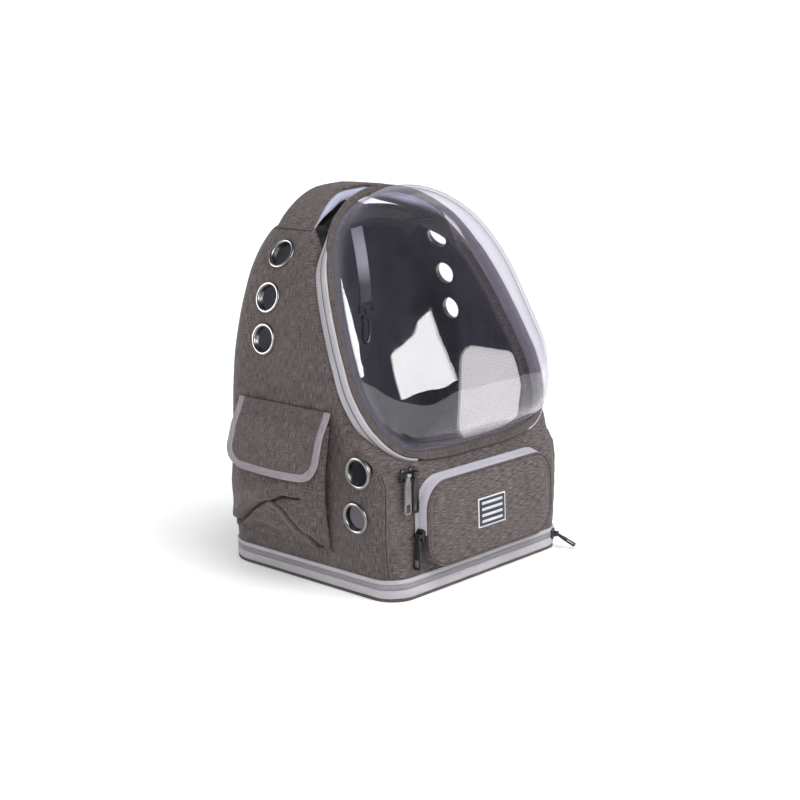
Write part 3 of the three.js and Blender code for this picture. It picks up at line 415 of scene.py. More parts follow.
class Look:
    """A node material under construction. Texture places are millimetres."""

    def __init__(self, name, rough=0.8, color=(0.5, 0.5, 0.5), metal=0.0):
        self.material = bpy.data.materials.new(name)
        self.material.use_nodes = True
        self.nodes = self.material.node_tree.nodes
        self.links = self.material.node_tree.links
        self.surface = self.nodes["Principled BSDF"]
        self.surface.inputs["Base Color"].default_value = (*color, 1)
        self.surface.inputs["Roughness"].default_value = rough
        self.surface.inputs["Metallic"].default_value = metal
        self.coordinates = self.node("TexCoord")
        self.normal = self.node("NewGeometry").outputs["Normal"]

    def node(self, kind, inputs=(), **settings):
        made = self.nodes.new("ShaderNode" + kind)
        for key, value in settings.items():
            setattr(made, key, value)
        for key, value in dict(inputs).items():
            self.put(made.inputs[key], value)
        return made

    def put(self, socket, value):
        if isinstance(value, bpy.types.NodeSocket):
            self.links.new(value, socket)
        else:
            socket.default_value = value

    def math(self, operation, a, b=0.0):
        made = self.node("Math", {0: a, 1: b}, operation=operation)
        return made.outputs[0]

    def axes(self, kind="UV"):
        """The axes of a texture place, in millimetres, or of a point, in metres, as sockets."""
        vector = self.normal if kind == "Normal" else self.coordinates.outputs[kind]
        return self.node("SeparateXYZ", {0: vector}).outputs

    def grain(self, kind, scale, detail):
        scaled = self.node("VectorMath", {0: self.coordinates.outputs[kind], 1: scale}, operation="MULTIPLY")
        made = self.node("TexNoise", {"Vector": scaled.outputs[0], "Scale": 1.0, "Detail": detail})
        return made.outputs["Fac"]

    def noise(self, u_length, v_length, detail=2.0):
        """Noise whose features are about u_length by v_length millimetres."""
        return self.grain("UV", (1 / u_length, 1 / v_length, 1.0), detail)

    def cloudy(self, length, detail=2.0):
        """Noise through space, whose features are about length millimetres."""
        return self.grain("Object", (1000 / length,) * 3, detail)

    def stripes(self, along, pitch):
        """A ripple from 0 to 1 along a texture axis."""
        turned = self.math("MULTIPLY", self.axes()[along], 2 * math.pi / pitch)
        return self.math("ADD", self.math("MULTIPLY", self.math("SINE", turned), 0.5), 0.5)

    def ramp(self, value, stops):
        made = self.node("ValToRGB", {0: value})
        band = made.color_ramp
        while len(band.elements) < len(stops):
            band.elements.new(0.5)
        for element, (position, color) in zip(band.elements, stops):
            element.position = position
            element.color = (*color, 1) if hasattr(color, "__len__") else (color, color, color, 1)
        return made.outputs[0]

    def times(self, a, b):
        """Two colours multiplied."""
        made = self.node("Mix", {0: 1.0, 6: a, 7: b}, data_type="RGBA", blend_type="MULTIPLY")
        return made.outputs[2]

    def layered(self, share, below, above):
        """Two shaders mixed, with this share of the one above."""
        return self.node("MixShader", {0: share, 1: below, 2: above}).outputs[0]

    def finish(self, shader):
        self.links.new(shader, self.nodes["Material Output"].inputs["Surface"])
        return self.material

    def darken(self, tone):
        """Multiplies the colour so far by a tone."""
        self.color(self.times(self.surface.inputs["Base Color"].links[0].from_socket, tone))

    def bump(self, height, distance, strength=1.0):
        """Adds a bump of that many millimetres over those before it."""
        made = self.node("Bump", {"Height": height, "Distance": distance * 0.001, "Strength": strength})
        before = self.surface.inputs["Normal"].links
        if before:
            self.links.new(before[0].from_socket, made.inputs["Normal"])
        self.links.new(made.outputs[0], self.surface.inputs["Normal"])

    def color(self, socket):
        self.links.new(socket, self.surface.inputs["Base Color"])


def sheen(look, weight, rough=0.5, tint=(1, 1, 1)):
    look.surface.inputs["Sheen Weight"].default_value = weight
    look.surface.inputs["Sheen Roughness"].default_value = rough
    look.surface.inputs["Sheen Tint"].default_value = (*tint, 1)
    look.surface.inputs["Specular IOR Level"].default_value = 0.25
    return look


# Dark, middle and light threads, how strong the level threads are, and the weave's pitch
BINDING_TONES = ((0.2, 0.17, 0.195), (0.29, 0.25, 0.285), (0.38, 0.33, 0.37), 0.5, 1.3)
HEM_TONES = ((0.035, 0.028, 0.026), (0.085, 0.07, 0.067), (0.16, 0.135, 0.13), 0.5, 1.3)
CLOTH_TONES = ((0.024, 0.0185, 0.018), (0.092, 0.074, 0.0725), (0.21, 0.176, 0.174), 0.75)


def heather(name, dark, middle, light, across=0.5, weave=0.95):
    """Cloth woven of mixed threads; across is how strong the level threads are."""
    look = sheen(Look(name, rough=0.92), 0.12, 0.45)
    level = look.noise(11.0, 0.7, 3.0)
    upright = look.noise(0.7, 11.0, 3.0)
    speck = look.noise(0.9, 0.9, 1.0)
    sideways = look.math("ABSOLUTE", look.axes("Normal")[0])
    share = look.math("MULTIPLY", sideways, 0.55)
    share = look.math("ADD", share, (1 - across) * 0.5)
    threads = look.node("Mix", {0: share, 2: level, 3: upright}, data_type="FLOAT").outputs[0]
    threads = look.math("ADD", look.math("MULTIPLY", threads, 0.88), look.math("MULTIPLY", speck, 0.12))
    fleck = look.ramp(threads, [(0.36, dark), (0.5, middle), (0.65, light)])
    patch = look.ramp(look.cloudy(70), [(0.3, 0.9), (0.7, 1.06)])
    look.color(look.times(fleck, patch))
    crossed = look.math("MULTIPLY", look.stripes(0, weave), look.stripes(1, weave))
    look.bump(crossed, 0.06, 0.6)
    look.bump(threads, 0.1, 0.5)
    look.bump(look.cloudy(22, 3.0), 0.9, 0.5)
    return look


def woven_tape(name, base, rib=1.2):
    """Flat tape with fine ribs."""
    look = sheen(Look(name, rough=0.8), 0.1)
    dirt = look.ramp(look.cloudy(40), [(0.3, tuple(c * 0.86 for c in base)), (0.7, base)])
    ribs = look.stripes(0, rib)
    look.color(look.times(dirt, look.ramp(ribs, [(0, 0.82), (1, 1.0)])))
    look.bump(ribs, 0.12)
    look.bump(look.cloudy(9, 3.0), 0.4, 0.6)
    return look


def ribbed(look, along, pitch, height, low, high, top=1):
    """Ribs across a texture axis, darker in the grooves."""
    ribs = look.stripes(along, pitch)
    look.color(look.ramp(ribs, [(0, low), (top, high)]))
    look.bump(ribs, height)
    return look


def make_looks():
    looks = {}
    looks["cloth"] = heather("cloth", *CLOTH_TONES)
    looks["binding"] = heather("binding", *BINDING_TONES)
    looks["hem"] = heather("hem", *HEM_TONES)
    looks["tape"] = woven_tape("tape", (0.52, 0.5, 0.54))
    looks["light_tape"] = woven_tape("light_tape", (0.5, 0.48, 0.55))
    looks["black"] = woven_tape("black", (0.018, 0.018, 0.02), 1.6)
    looks["webbing"] = woven_tape("webbing", (0.022, 0.022, 0.026), 1.8)

    lining = sheen(Look("lining", rough=0.62), 0.1, 0.4, (0.6, 0.62, 0.8))
    lining.surface.inputs["Specular IOR Level"].default_value = 0.35
    lining.color(lining.ramp(lining.cloudy(60, 3.0),
                             [(0.3, (0.026, 0.027, 0.04)), (0.72, (0.062, 0.062, 0.084))]))
    lining.bump(lining.cloudy(26, 3.0), 2.2, 0.6)
    lining.bump(lining.math("MULTIPLY", lining.stripes(0, 0.8), lining.stripes(1, 0.8)), 0.06, 0.6)
    looks["lining"] = lining

    looks["coil"] = ribbed(Look("coil", rough=0.55), 0, 1.7, 0.6, (0.2, 0.19, 0.21), (0.42, 0.4, 0.44), 0.5)
    looks["label"] = ribbed(sheen(Look("label", rough=0.7), 0.1), 1, 0.8, 0.08, (0.55, 0.55, 0.6),
                            (0.74, 0.74, 0.78))
    looks["label_field"] = ribbed(sheen(Look("label_field", rough=0.7), 0.1), 0, 0.7, 0.12,
                                  (0.014, 0.018, 0.03), (0.035, 0.04, 0.06))

    pad = sheen(Look("airmesh", rough=0.85), 0.25)
    rows = pad.math("ADD", *pad.axes()[:2])
    ranks = pad.math("SUBTRACT", *pad.axes()[:2])
    cell = lambda value: pad.math("ABSOLUTE", pad.math("SINE", pad.math("MULTIPLY", value, 0.95)))
    holes = pad.math("MULTIPLY", cell(rows), cell(ranks))
    pad.color(pad.ramp(holes, [(0.1, (0.62, 0.65, 0.86)), (0.4, (0.66, 0.69, 0.9)),
                               (0.75, (0.2, 0.22, 0.32))]))
    pad.bump(holes, -0.7)
    looks["airmesh"] = pad

    mat = sheen(Look("mat", rough=0.95), 0.3)
    mat.color(mat.ramp(mat.cloudy(2.4, 3.0), [(0.35, (0.17, 0.155, 0.19)), (0.65, (0.26, 0.24, 0.29))]))
    mat.bump(mat.cloudy(2.0, 3.0), 1.0)
    looks["mat"] = mat

    plastic = Look("plastic", rough=0.36, color=(0.012, 0.012, 0.014))
    plastic.bump(plastic.cloudy(0.8, 3.0), 0.04, 0.5)
    worn = plastic.ramp(plastic.cloudy(12), [(0.3, 0.3), (0.7, 0.46)])
    plastic.put(plastic.surface.inputs["Roughness"], worn)
    looks["plastic"] = plastic

    nickel = Look("nickel", rough=0.35, color=(0.4, 0.385, 0.38), metal=1.0)
    worn = nickel.ramp(nickel.cloudy(30), [(0.3, 0.3), (0.75, 0.4)])
    nickel.put(nickel.surface.inputs["Roughness"], worn)
    nickel.color(nickel.ramp(nickel.cloudy(14, 2.0),
                             [(0.3, (0.17, 0.163, 0.16)), (0.7, (0.26, 0.25, 0.246))]))
    looks["nickel"] = nickel

    return {name: look.material for name, look in looks.items()}


def clear_look():
    """Clear bent plastic: it lets light through, reflects by angle, and greys at a glancing angle."""
    look = Look("clear", rough=0.03, color=(0.62, 0.58, 0.72))
    look.surface.inputs["Specular IOR Level"].default_value = 0.8
    passed = look.node("BsdfTransparent", {0: (0.95, 0.945, 0.965, 1)})
    slope = look.node("LayerWeight", {0: 0.5}).outputs["Facing"]
    milky = look.math("ADD", look.math("MULTIPLY", look.math("POWER", slope, 5.0), 0.5), 0.012)
    out_of_door = look.node("VectorMath", {0: look.coordinates.outputs["Object"],
                                           1: (0, -math.cos(LEAN), math.sin(LEAN))}, operation="DOT_PRODUCT")
    rise = look.math("ADD", look.math("MULTIPLY", out_of_door.outputs["Value"], 1000), RIM_LEVEL)
    edge = look.ramp(look.math("DIVIDE", rise, 20), [(0.1, 0.24), (0.55, 0.08), (1.0, 0.0)])
    milky = look.math("MAXIMUM", milky, edge)
    haze = look.node("BsdfTranslucent", {0: (0.78, 0.75, 0.86, 1)})
    body = look.layered(0.5, look.surface.outputs[0], haze.outputs[0])
    film = look.layered(milky, passed.outputs[0], body)
    gloss = look.node("BsdfGlossy", {"Color": (1, 1, 1, 1), "Roughness": 0.03})
    share = look.math("ADD", look.math("MULTIPLY", look.math("POWER", slope, 5.0), 0.8), 0.045)
    bump = look.node("Bump", {"Height": look.cloudy(55, 2.0), "Distance": 0.0012, "Strength": 0.35})
    look.put(gloss.inputs["Normal"], bump.outputs[0])
    return look.finish(look.layered(share, film, gloss.outputs[0]))


def window_look():
    """Open mesh cloth: threads that glow when lit from behind, with holes between them."""
    look = Look("mesh", rough=0.9, color=(0.62, 0.58, 0.58))
    threads = look.math("MAXIMUM", look.stripes(0, 3.0), look.stripes(1, 3.0))
    tone = look.ramp(look.cloudy(35), [(0.3, (0.5, 0.46, 0.46)), (0.7, (0.62, 0.58, 0.58))])
    grid = look.ramp(threads, [(0.5, 0.45), (0.9, 1.0)])
    look.color(look.times(tone, grid))
    look.bump(threads, 0.3)
    glow = look.node("BsdfTranslucent", {0: (0.82, 0.76, 0.76, 1)})
    cloth = look.layered(0.55, look.surface.outputs[0], glow.outputs[0])
    hole = look.node("BsdfTransparent")
    share = look.ramp(threads, [(0.55, 0.35), (0.8, 1.0)])
    return look.finish(look.layered(share, hole.outputs[0], cloth))


def tether_look():
    """Grey webbing that is darker toward its foot."""
    look = woven_tape("tether", (0.55, 0.53, 0.6), 1.4)
    look.darken(look.ramp(look.axes("Object")[2], [(0.325, 0.16), (0.352, 1.0)]))
    return look.material


def shell_look():
    """The outer cloth, with painted shade that darkens it nearly to black where it is sunk below the outline
    under the handle.
    """
    look = heather("shell_cloth", *CLOTH_TONES)
    axes = look.axes("Object")
    across, up = axes[0], axes[2]
    upper = OUTLINE[:, 1] > 250
    reach = np.linspace(0, SHOULDER, 12)
    tops = np.interp(-reach, -OUTLINE[upper, 0], OUTLINE[upper, 1])
    side = look.math("DIVIDE", look.math("ABSOLUTE", across), SHOULDER * 0.001)
    top = look.ramp(side, [(min(x / SHOULDER, 0.999), t / HEIGHT) for x, t in zip(reach, tops)])
    height = look.math("MULTIPLY", up, 1000)
    depth = look.math("SUBTRACT", look.math("MULTIPLY", top, HEIGHT), height)
    # painted shade: the cloth darkens nearly to black as it sinks from 3 to 5 mm below the outline
    sunk_shade = look.ramp(look.math("DIVIDE", depth, 10), [(0.3, 1.0), (0.5, 0.06)])
    inside = look.ramp(side, [(0.96, 0.0), (0.99, 1.0)])
    low = look.ramp(up, [(0.33, 1.0), (0.345, 0.0)])
    steep = look.ramp(look.axes("Normal")[2], [(0.3, 1.0), (0.5, 0.0)])
    # painted shade, only on upward-facing cloth inside the shoulders and above about 340 mm; steep or low
    # cloth keeps its tone
    tone = look.math("MAXIMUM", look.math("MAXIMUM", sunk_shade, inside), look.math("MAXIMUM", low, steep))
    look.darken(tone)
    return look.material


LOOKS = make_looks()
LOOKS["clear"] = clear_look()
LOOKS["mesh"] = window_look()


# Door frame

def leaning(y, z, lean, facing):
    """A frame on a leaning plane: across it, up it and out of it."""
    def place(across, up, out):
        across, up, out = np.broadcast_arrays(across, up, out)
        return np.stack([
            across + 0.0,
            y + up * math.sin(lean) + facing * out * math.cos(lean),
            z + up * math.cos(lean) - facing * out * math.sin(lean),
        ], -1)
    return place


on_door = leaning(SILL_Y, SILL, LEAN, -1)
on_front = leaning(-DEPTH / 2, 0, math.atan(PANEL_SETBACK / PANEL_TOP), -1)
on_back = leaning(DEPTH / 2, 0, -math.atan(BACK_LEAN), 1)

RIM_POINTS = [(a * RIM_HALF, RIM_LIFT + u * RIM_LENGTH) for a, u in RIM_ROWS]
RIM_POINTS += [(-x, up) for x, up in RIM_POINTS[:0:-1]]
RIM, RIM_ALONG = even(through(RIM_POINTS, closed=True), 360, closed=True)
RIM_OUT = np.stack([RIM_ALONG[:, 1], -RIM_ALONG[:, 0]], 1)


def rim_ring(offset, out):
    at = RIM + RIM_OUT * np.reshape(offset, (-1, 1))
    return on_door(at[:, 0], at[:, 1], out)


# Shell, lining and window

def cloth_relief(side):
    """Slack and puckers of the outer cloth, as millimetres out of the skin."""
    flat = side.reshape(-1, 3)
    slack = 1.1 * waves(flat, 70, 3.1) + 0.5 * waves(flat, 26, 7.7)
    y, z = flat[:, 1], flat[:, 2]
    seam = np.exp(-(((y + 103) / 9) ** 2)) * smooth(35, 60, z) * (1 - smooth(160, 185, z))
    pucker = seam * (0.9 * np.sin(z / 3.1) - 0.9)
    hold = smooth(28, 45, z)
    top = 1 - 0.7 * smooth(150, 230, z) * np.exp(-((y - front_y(z)) / 20) ** 2)
    return ((slack * top + pucker) * hold).reshape(side.shape[:2])


def lining_relief(side):
    """The lining hangs in slack folds, inward of the wall."""
    flat = side.reshape(-1, 3)
    folds = np.array([abs(wave(x, y * 2.2, z * 0.6, 60, 5.0)) for x, y, z in flat])
    return (-5.0 * np.clip(folds * 1.8, 0, 1) * smooth(30, 60, flat[:, 2])).reshape(side.shape[:2])


def body_mesh(name, grow, relief=None, across=26):
    side = body_side(grow, relief=relief)
    right = side.copy()
    right[..., 0] -= pinch(right[..., 1], right[..., 2])
    left = side * np.array([-1, 1, 1])
    mesh = Mesh()
    mesh.grid(np.concatenate([left, right[:, -2::-1]], axis=1))
    share = np.linspace(0, 1, across + 1)[:, None]
    for column in (0, -1):
        rungs = [mix(left[column, i], right[column, i], share) for i in range(side.shape[1] - 1)]
        mesh.grid(rungs)
        mesh.grid([rungs[-1], np.repeat(side[column, -1][None], across + 1, 0)])
    mesh.grid([mix(left[c, 0], right[c, 0], share) for c in range(side.shape[0])])
    return mesh.make(name)


def seat_prism(grow):
    offset = BINDING + CLEAR - grow
    return lofted("seat", [rim_ring(offset, grow - FRAME_DEPTH), rim_ring(offset, 60)])


def mouth_prism():
    offset = -mix(5, 20, smooth(RIM_LENGTH * 0.8, RIM_LENGTH, RIM[:, 1]))
    return lofted("mouth", [rim_ring(offset, -60), rim_ring(offset, 40)])


def eyelet_frame(y, z, side):
    x, z, nx, nz = (float(v) for v in outline_at(share_at(z)))
    axis = Vector((side * nx, 0, nz)).normalized()
    turn = Vector((0, 0, 1)).rotation_difference(axis).to_matrix()
    place = Vector((side * x, y, z))
    return lambda radius, height, angle: turn @ Vector((
        radius * math.cos(angle), radius * math.sin(angle), height)) + place


def lathe(name, place, profile, sides=56, ends="loop", angle=60):
    angles = [i / sides * 2 * math.pi for i in range(sides)]
    rings = [[tuple(place(radius, height, a)) for a in angles] for radius, height in profile]
    return lofted(name, rings, ends, angle)


def eyelet_cutters():
    profile = [(15, -20), (15, 20)]
    return [lathe("eyelet_cut", eyelet_frame(y, z, side), profile, 40, "fan", 40)
            for side, rows in ((-1, LEFT_EYELETS), (1, RIGHT_EYELETS)) for y, z in rows]


def rounded(width, height, radius, side=10, turn=8):
    """A closed rounded rectangle about nought, counted round from its right side."""
    points = []
    centres = [(1, 1), (-1, 1), (-1, -1), (1, -1)]
    for quarter, (sx, sy) in enumerate(centres):
        cx, cy = sx * (width / 2 - radius), sy * (height / 2 - radius)
        arc = [(cx + radius * math.cos(a), cy + radius * math.sin(a)) for a in (
            (quarter + i / turn) * math.pi / 2 for i in range(turn + 1))]
        nx, ny = centres[(quarter + 1) % 4]
        angle = (quarter + 1) * math.pi / 2
        start = (nx * (width / 2 - radius) + radius * math.cos(angle),
                 ny * (height / 2 - radius) + radius * math.sin(angle))
        run = [(mix(arc[-1][0], start[0], i / side), mix(arc[-1][1], start[1], i / side))
               for i in range(1, side)]
        points += arc + run
    return np.array(points)


def window_ring(grow):
    ring = rounded(WINDOW_WIDTH + 2 * grow, WINDOW_HEIGHT + 2 * grow, WINDOW_CORNER + grow)
    return ring + WINDOW_MIDDLE


def window_prism(grow):
    ring = window_ring(grow)
    ends = (HALF_WIDTH - 60, HALF_WIDTH + 30)
    return lofted("window_cut", [np.column_stack([np.full(len(ring), x), ring]) for x in ends])


def seated(name, grow, relief=None):
    return cut(body_mesh(name, grow, relief), seat_prism(grow))


def make_shell():
    """The outer cloth and the lining, each hollowed and cut for the door, window and eyelets."""
    for name, outer, inner, relief, angle, look, node, slot in (
            ("bag_shell", 0, -WALL, cloth_relief, 35, "shell_cloth", "shell", "cloth"),
            ("bag_lining", -WALL - 0.6, -INNER_FACE, lining_relief, 50, "lining", "lining", "lining")):
        skin = seated(name, outer, relief)
        cut(skin, seated("hollow", inner, relief), mouth_prism(), window_prism(0), *eyelet_cutters())
        shade(box_places(skin), angle)
        dress(skin, LOOKS[look], node)


def side_sheet(y, z, out):
    """A point on the right wall, out from it."""
    return np.stack([side_x(z) + out - pinch(y, z), y, z], -1)


def make_window():
    """Mesh cloth held taut in the window, and the tape round it."""
    mesh = Mesh()
    ring = window_ring(4)
    rings = []
    for share in np.linspace(1, 0.06, 18):
        at = WINDOW_MIDDLE + (ring - WINDOW_MIDDLE) * share
        sag = -1.6 - 2.2 * (1 - share ** 2)
        rings.append(side_sheet(at[:, 0], at[:, 1], sag + 0.5 * waves(
            np.column_stack([at, at[:, 0]]), 30, 2.0)))
    mesh.loft(rings, "open")
    mesh.fan(rings[-1])
    pane = mesh.make("window_mesh", 80)
    box_places(pane)
    dress(pane, LOOKS["mesh"], "side_mesh")
    profile = [(9, 0.2), (9.1, 1.6), (8, 2.3), (4, 2.2), (-1, 2.2), (-1.8, 1.4), (-1.8, 0.2)]
    rings = [side_sheet(*window_ring(grow).T, out) for grow, out in profile]
    dress(lofted("window_edge", rings, "loop"), LOOKS["tape"], "window_binding")


def make_eyelets():
    inner = -INNER_FACE - 1
    profile = [(14.1, inner), (14.8, inner), (14.8, 0.3), (18.3, 0.3), (18.6, 0.9), (18.3, 1.6),
               (17.6, 2.1), (16.6, 2.3), (15.6, 2.1), (14.7, 1.4), (14.1, 0.2)]
    for side, word, rows in ((-1, "left", LEFT_EYELETS), (1, "right", RIGHT_EYELETS)):
        for i, (y, z) in enumerate(rows):
            name = f"eyelet_{word}_{i + 1}" if i < 3 else f"eyelet_{word}_low_{i - 2}"
            ring = lathe("ring_" + name, eyelet_frame(y, z, side), profile)
            dress(ring, LOOKS["nickel"], name)


# Base

def plan_ring(z, grow, corner_steps=10, middle_steps=30, across=30):
    """The body's plan at one height, as a closed ring."""
    at = np.array([z], float)
    half = []
    for part, turn in body_columns(corner_steps, middle_steps):
        inset, y = column_at(part, turn, at, grow)
        half.append([float(side_x(z)) - float(np.ravel(inset)[0]), float(np.ravel(y)[0]), z])
    half = np.array(half)
    left = half * np.array([-1, 1, 1])
    front = [mix(left[0], half[0], s) for s in np.linspace(0, 1, across + 1)[1:-1]]
    back = [mix(half[-1], left[-1], s) for s in np.linspace(0, 1, across + 1)[1:-1]]
    return np.concatenate([half, back, left[::-1], front])


def base_band(name, profile, slack):
    """A band round the base: its section is a list of height and distance out, with a wavy edge."""
    rings = []
    for z, out in profile:
        ring = plan_ring(z, out)
        ripple = slack * waves(ring * np.array([1, 1, 0]), 22, 4.0)
        ring[:, 2] += ripple * (0.2 if out < 0.8 else 1)
        rings.append(ring)
    return lofted(name, rings, "loop")


def make_base():
    rings = [plan_ring(BASE_THICK, grow) for grow in (-30, 1, 2.2, 2.5, 2.5, 2.2, 1, -30)]
    for ring, z in zip(rings, (0, 0, 0.4, 1.0, 2.4, 3.2, 3.6, 3.6)):
        ring[:, 2] = z
    dress(lofted("base_board", rings), LOOKS["hem"], "base_panel")
    lower = [(3.8, 0.2), (3.8, 1.9), (4.8, 2.6), (9.2, 2.8), (12.6, 2.3), (13.7, 1.8), (13.7, 0.2)]
    dress(base_band("base_tape_low", lower, 0.35), LOOKS["tape"], "base_tape_lower")
    teeth = [(14.2, 0.2), (14.2, 1.6), (14.6, 1.9), (15.6, 1.9), (15.9, 0.8), (16.2, 1.9), (16.7, 2.2),
             (17.5, 2.2), (18.0, 1.9), (18.3, 0.8), (18.6, 1.8), (19.7, 1.8), (20.0, 1.4), (20.0, 0.2)]
    dress(base_band("base_coil", teeth, 0.35), LOOKS["coil"], "base_zip")
    upper = [(20.5, 0.2), (20.5, 1.6), (21.5, 2.1), (24.4, 2.1), (25.5, 1.6), (25.6, 0.2)]
    dress(base_band("base_tape_high", upper, 0.35), LOOKS["tape"], "base_tape_upper")


def make_mat():
    """The soft floor mat."""
    low = BASE_THICK + INNER_FACE + 2 * CLEAR
    rows = [(-34, 0.4), (-9, 0.2), (-6.8, 1.6), (-6.6, 4), (-7.4, 6.4), (-10, 7.7), (-20, 8.6), (-44, 9.2),
            (-80, 9.2)]
    rings = []
    for grow, height in rows:
        ring = plan_ring(BASE_THICK, grow)
        ring[:, 2] = low + height + (0.5 * waves(ring, 30, 6.0) if height > 6 else 0)
        rings.append(ring)
    pad = lofted("mat_pad", rings, angle=60)
    box_places(pad)
    dress(pad, LOOKS["mat"], "floor_mat")


# Door: binding, zip and dome

def rim_band(name, section, keep=None, ripple=0.0, angle=40):
    """A band along the door's rim from a section of offset and height pairs."""
    rings = []
    lift = ripple * np.array([wave(x, u, 0, 16, 9.0) for x, u in RIM])
    for offset, out in section:
        shown = np.ones(len(RIM)) if ripple < 0 else np.broadcast_to(np.asarray(out) > 0.5, len(RIM))
        rings.append(rim_ring(offset, out + lift * shown))
    rings = np.array(rings).transpose(1, 0, 2)
    if keep is None:
        return lofted(name, rings, "loop", angle)
    order = np.roll(np.arange(len(RIM)), -int(np.argmin(RIM[:, 1])))
    return lofted(name, rings[[i for i in order if keep[i]]], angle=angle)


def make_door_zip():
    """Tapes and coil round the door's side wall, open at the fold along the bottom."""
    heights = rim_ring(10, -10)[:, 2]
    keep = ~((np.abs(RIM[:, 0]) < HINGE_HALF) & (heights < SILL + 60))
    high = smooth(355, 405, heights)

    def thinned(section):
        return [(10 - (10 - offset) * (1 - high) - 3.4 * high, 1 + (out - 1) * mix(1, 0.3, high))
                for offset, out in section]

    outer = [(10, -16.7), (11.5, -16.7), (12, -15.8), (12.1, -13.4), (11.8, -10.9), (11.4, -10),
             (10, -10)]
    dress(rim_band("door_tape_low", thinned(outer), keep, -0.3), LOOKS["tape"], "door_tape_outer")
    coil = [(10, -9.7), (11.2, -9.7), (12.3, -9.1), (12.6, -8.5), (12.3, -7.9), (11.2, -7.3), (10, -7.3)]
    dress(rim_band("door_coil", thinned(coil), keep), LOOKS["coil"], "door_zip")
    inner = [(10, -7.0), (11.4, -7.0), (12.1, -6.2), (12.6, -3.4), (12.7, -0.6), (12.4, 1.0), (11.6, 1.8),
             (10.7, 2.0), (10.2, 1.2), (10, 0.4), (10, -0.3)]
    dress(rim_band("door_tape_high", thinned(inner), keep, -0.3), LOOKS["tape"], "door_tape_inner")


def make_binding():
    section = [(12.5, 0), (12.6, 1.2), (12.1, 2.3), (11, 2.9), (9.2, 3.0), (8.6, 2.6), (8.0, 3.1),
               (5, 3.3), (3.2, 3.1), (2.7, 2.5), (2.2, 2.9), (1.2, 2.4), (0.8, 1.4), (0.8, 0)]
    heights = rim_ring(10, -10)[:, 2]
    narrow = np.maximum(smooth(HINGE_HALF - 12, HINGE_HALF, np.abs(RIM[:, 0])), smooth(205, 215, heights))
    section = [(0.8 + (offset - 0.8) * mix(1, 0.76, narrow), out) for offset, out in section]
    dress(rim_band("door_hem", section, ripple=0.35, angle=50), LOOKS["hem"], "door_binding")


def dome_ring(angle, inset):
    share = math.cos(angle) ** 0.8
    height = (DOME_HEIGHT - inset) * math.sin(angle) ** 0.75
    swollen = smooth(0.35, 0.75, (RIM[:, 1] - RIM_LIFT) / RIM_LENGTH) * smooth(-110, 0, RIM[:, 0])
    bulge = DOME_BULGE * swollen * math.sin(min(2.2 * angle, math.pi))
    at = RIM - RIM_OUT * (1 + inset - bulge)[:, None]
    up = RIM_MIDDLE + (at[:, 1] - RIM_MIDDLE) * share
    return on_door(at[:, 0] * share, up, -CLEAR - inset + height)


def make_dome():
    steps = [(i / 44) ** 1.35 * 0.985 * math.pi / 2 for i in range(45)]
    outer = [dome_ring(a, 0) for a in steps]
    inner = [dome_ring(a, 2) for a in steps]
    rings = outer[::-1] + [rim_ring(9, -CLEAR), rim_ring(9, -CLEAR - 2)] + inner
    dress(lofted("bubble", rings, angle=50), LOOKS["clear"], "bubble_dome")


# Front pocket

def pocket_ring(inset, out):
    corner = max(POCKET_CORNER - inset, 2)
    size = rounded(2 * (POCKET_HALF - inset), POCKET_HEIGHT - 2 * inset, corner, 24, 12)
    return on_front(size[:, 0], POCKET_MIDDLE + size[:, 1], out)


def make_front_pocket():
    rows = [(36, 22.2), (30, 22.0), (24, 21.6), (18, 21.0), (13, 20.3), (9, 19.5), (7, 18.9), (6, 18.2),
            (5.3, 17.9), (4.6, 18.3), (3.4, 18.5), (1.6, 18.2), (0.4, 17.2), (0, 15.6), (0, 10), (0, 5),
            (0, 0.3), (2, 0.3), (2, 12), (3, 15), (13, 17.6), (36, 19.4)]
    rings = []
    for inset, out in rows:
        ring = pocket_ring(inset, out)
        if out > 14:
            ring[:, 1] -= 0.7 * waves(ring, 42, 1.5) * min(inset / 12, 1)
        rings.append(ring)
    pocket = lofted("pocket_body", rings, angle=50)
    box_places(pocket)
    dress(pocket, LOOKS["cloth"], "front_pocket")
    turn = [i / 12 * 2 * math.pi for i in range(12)]
    rings = [pocket_ring(-1.2 + 1.2 * math.cos(a), 17.0 + 1.2 * math.sin(a)) for a in turn]
    dress(lofted("pocket_cord", rings, "loop", 80), LOOKS["hem"], "pocket_piping")


def make_pocket_tape():
    """The zip tape over the pocket's top and part way down its sides, with the coil's line in it."""
    profile = [(15.6, 0.3), (15.4, 2.0), (14.4, 2.8), (11.4, 3.6), (8.4, 4.4), (7.8, 3.8), (7.2, 4.8),
               (6.4, 5.0), (5.8, 4.4), (5.2, 5.4), (3.2, 6.2), (1.6, 6.6), (1.4, 6.0), (3.2, 0.3)]
    rings = np.array([pocket_ring(-grow, out) for out, grow in profile]).transpose(1, 0, 2)
    low = POCKET_MIDDLE - 8
    order = np.arange(len(rings))
    start = int(np.argmin(rings[:, 0, 2]))
    order = [i for i in np.roll(order, -start) if rings[i, 0, 2] > low]
    dress(lofted("pocket_zip_tape", rings[order]), LOOKS["light_tape"], "pocket_tape")


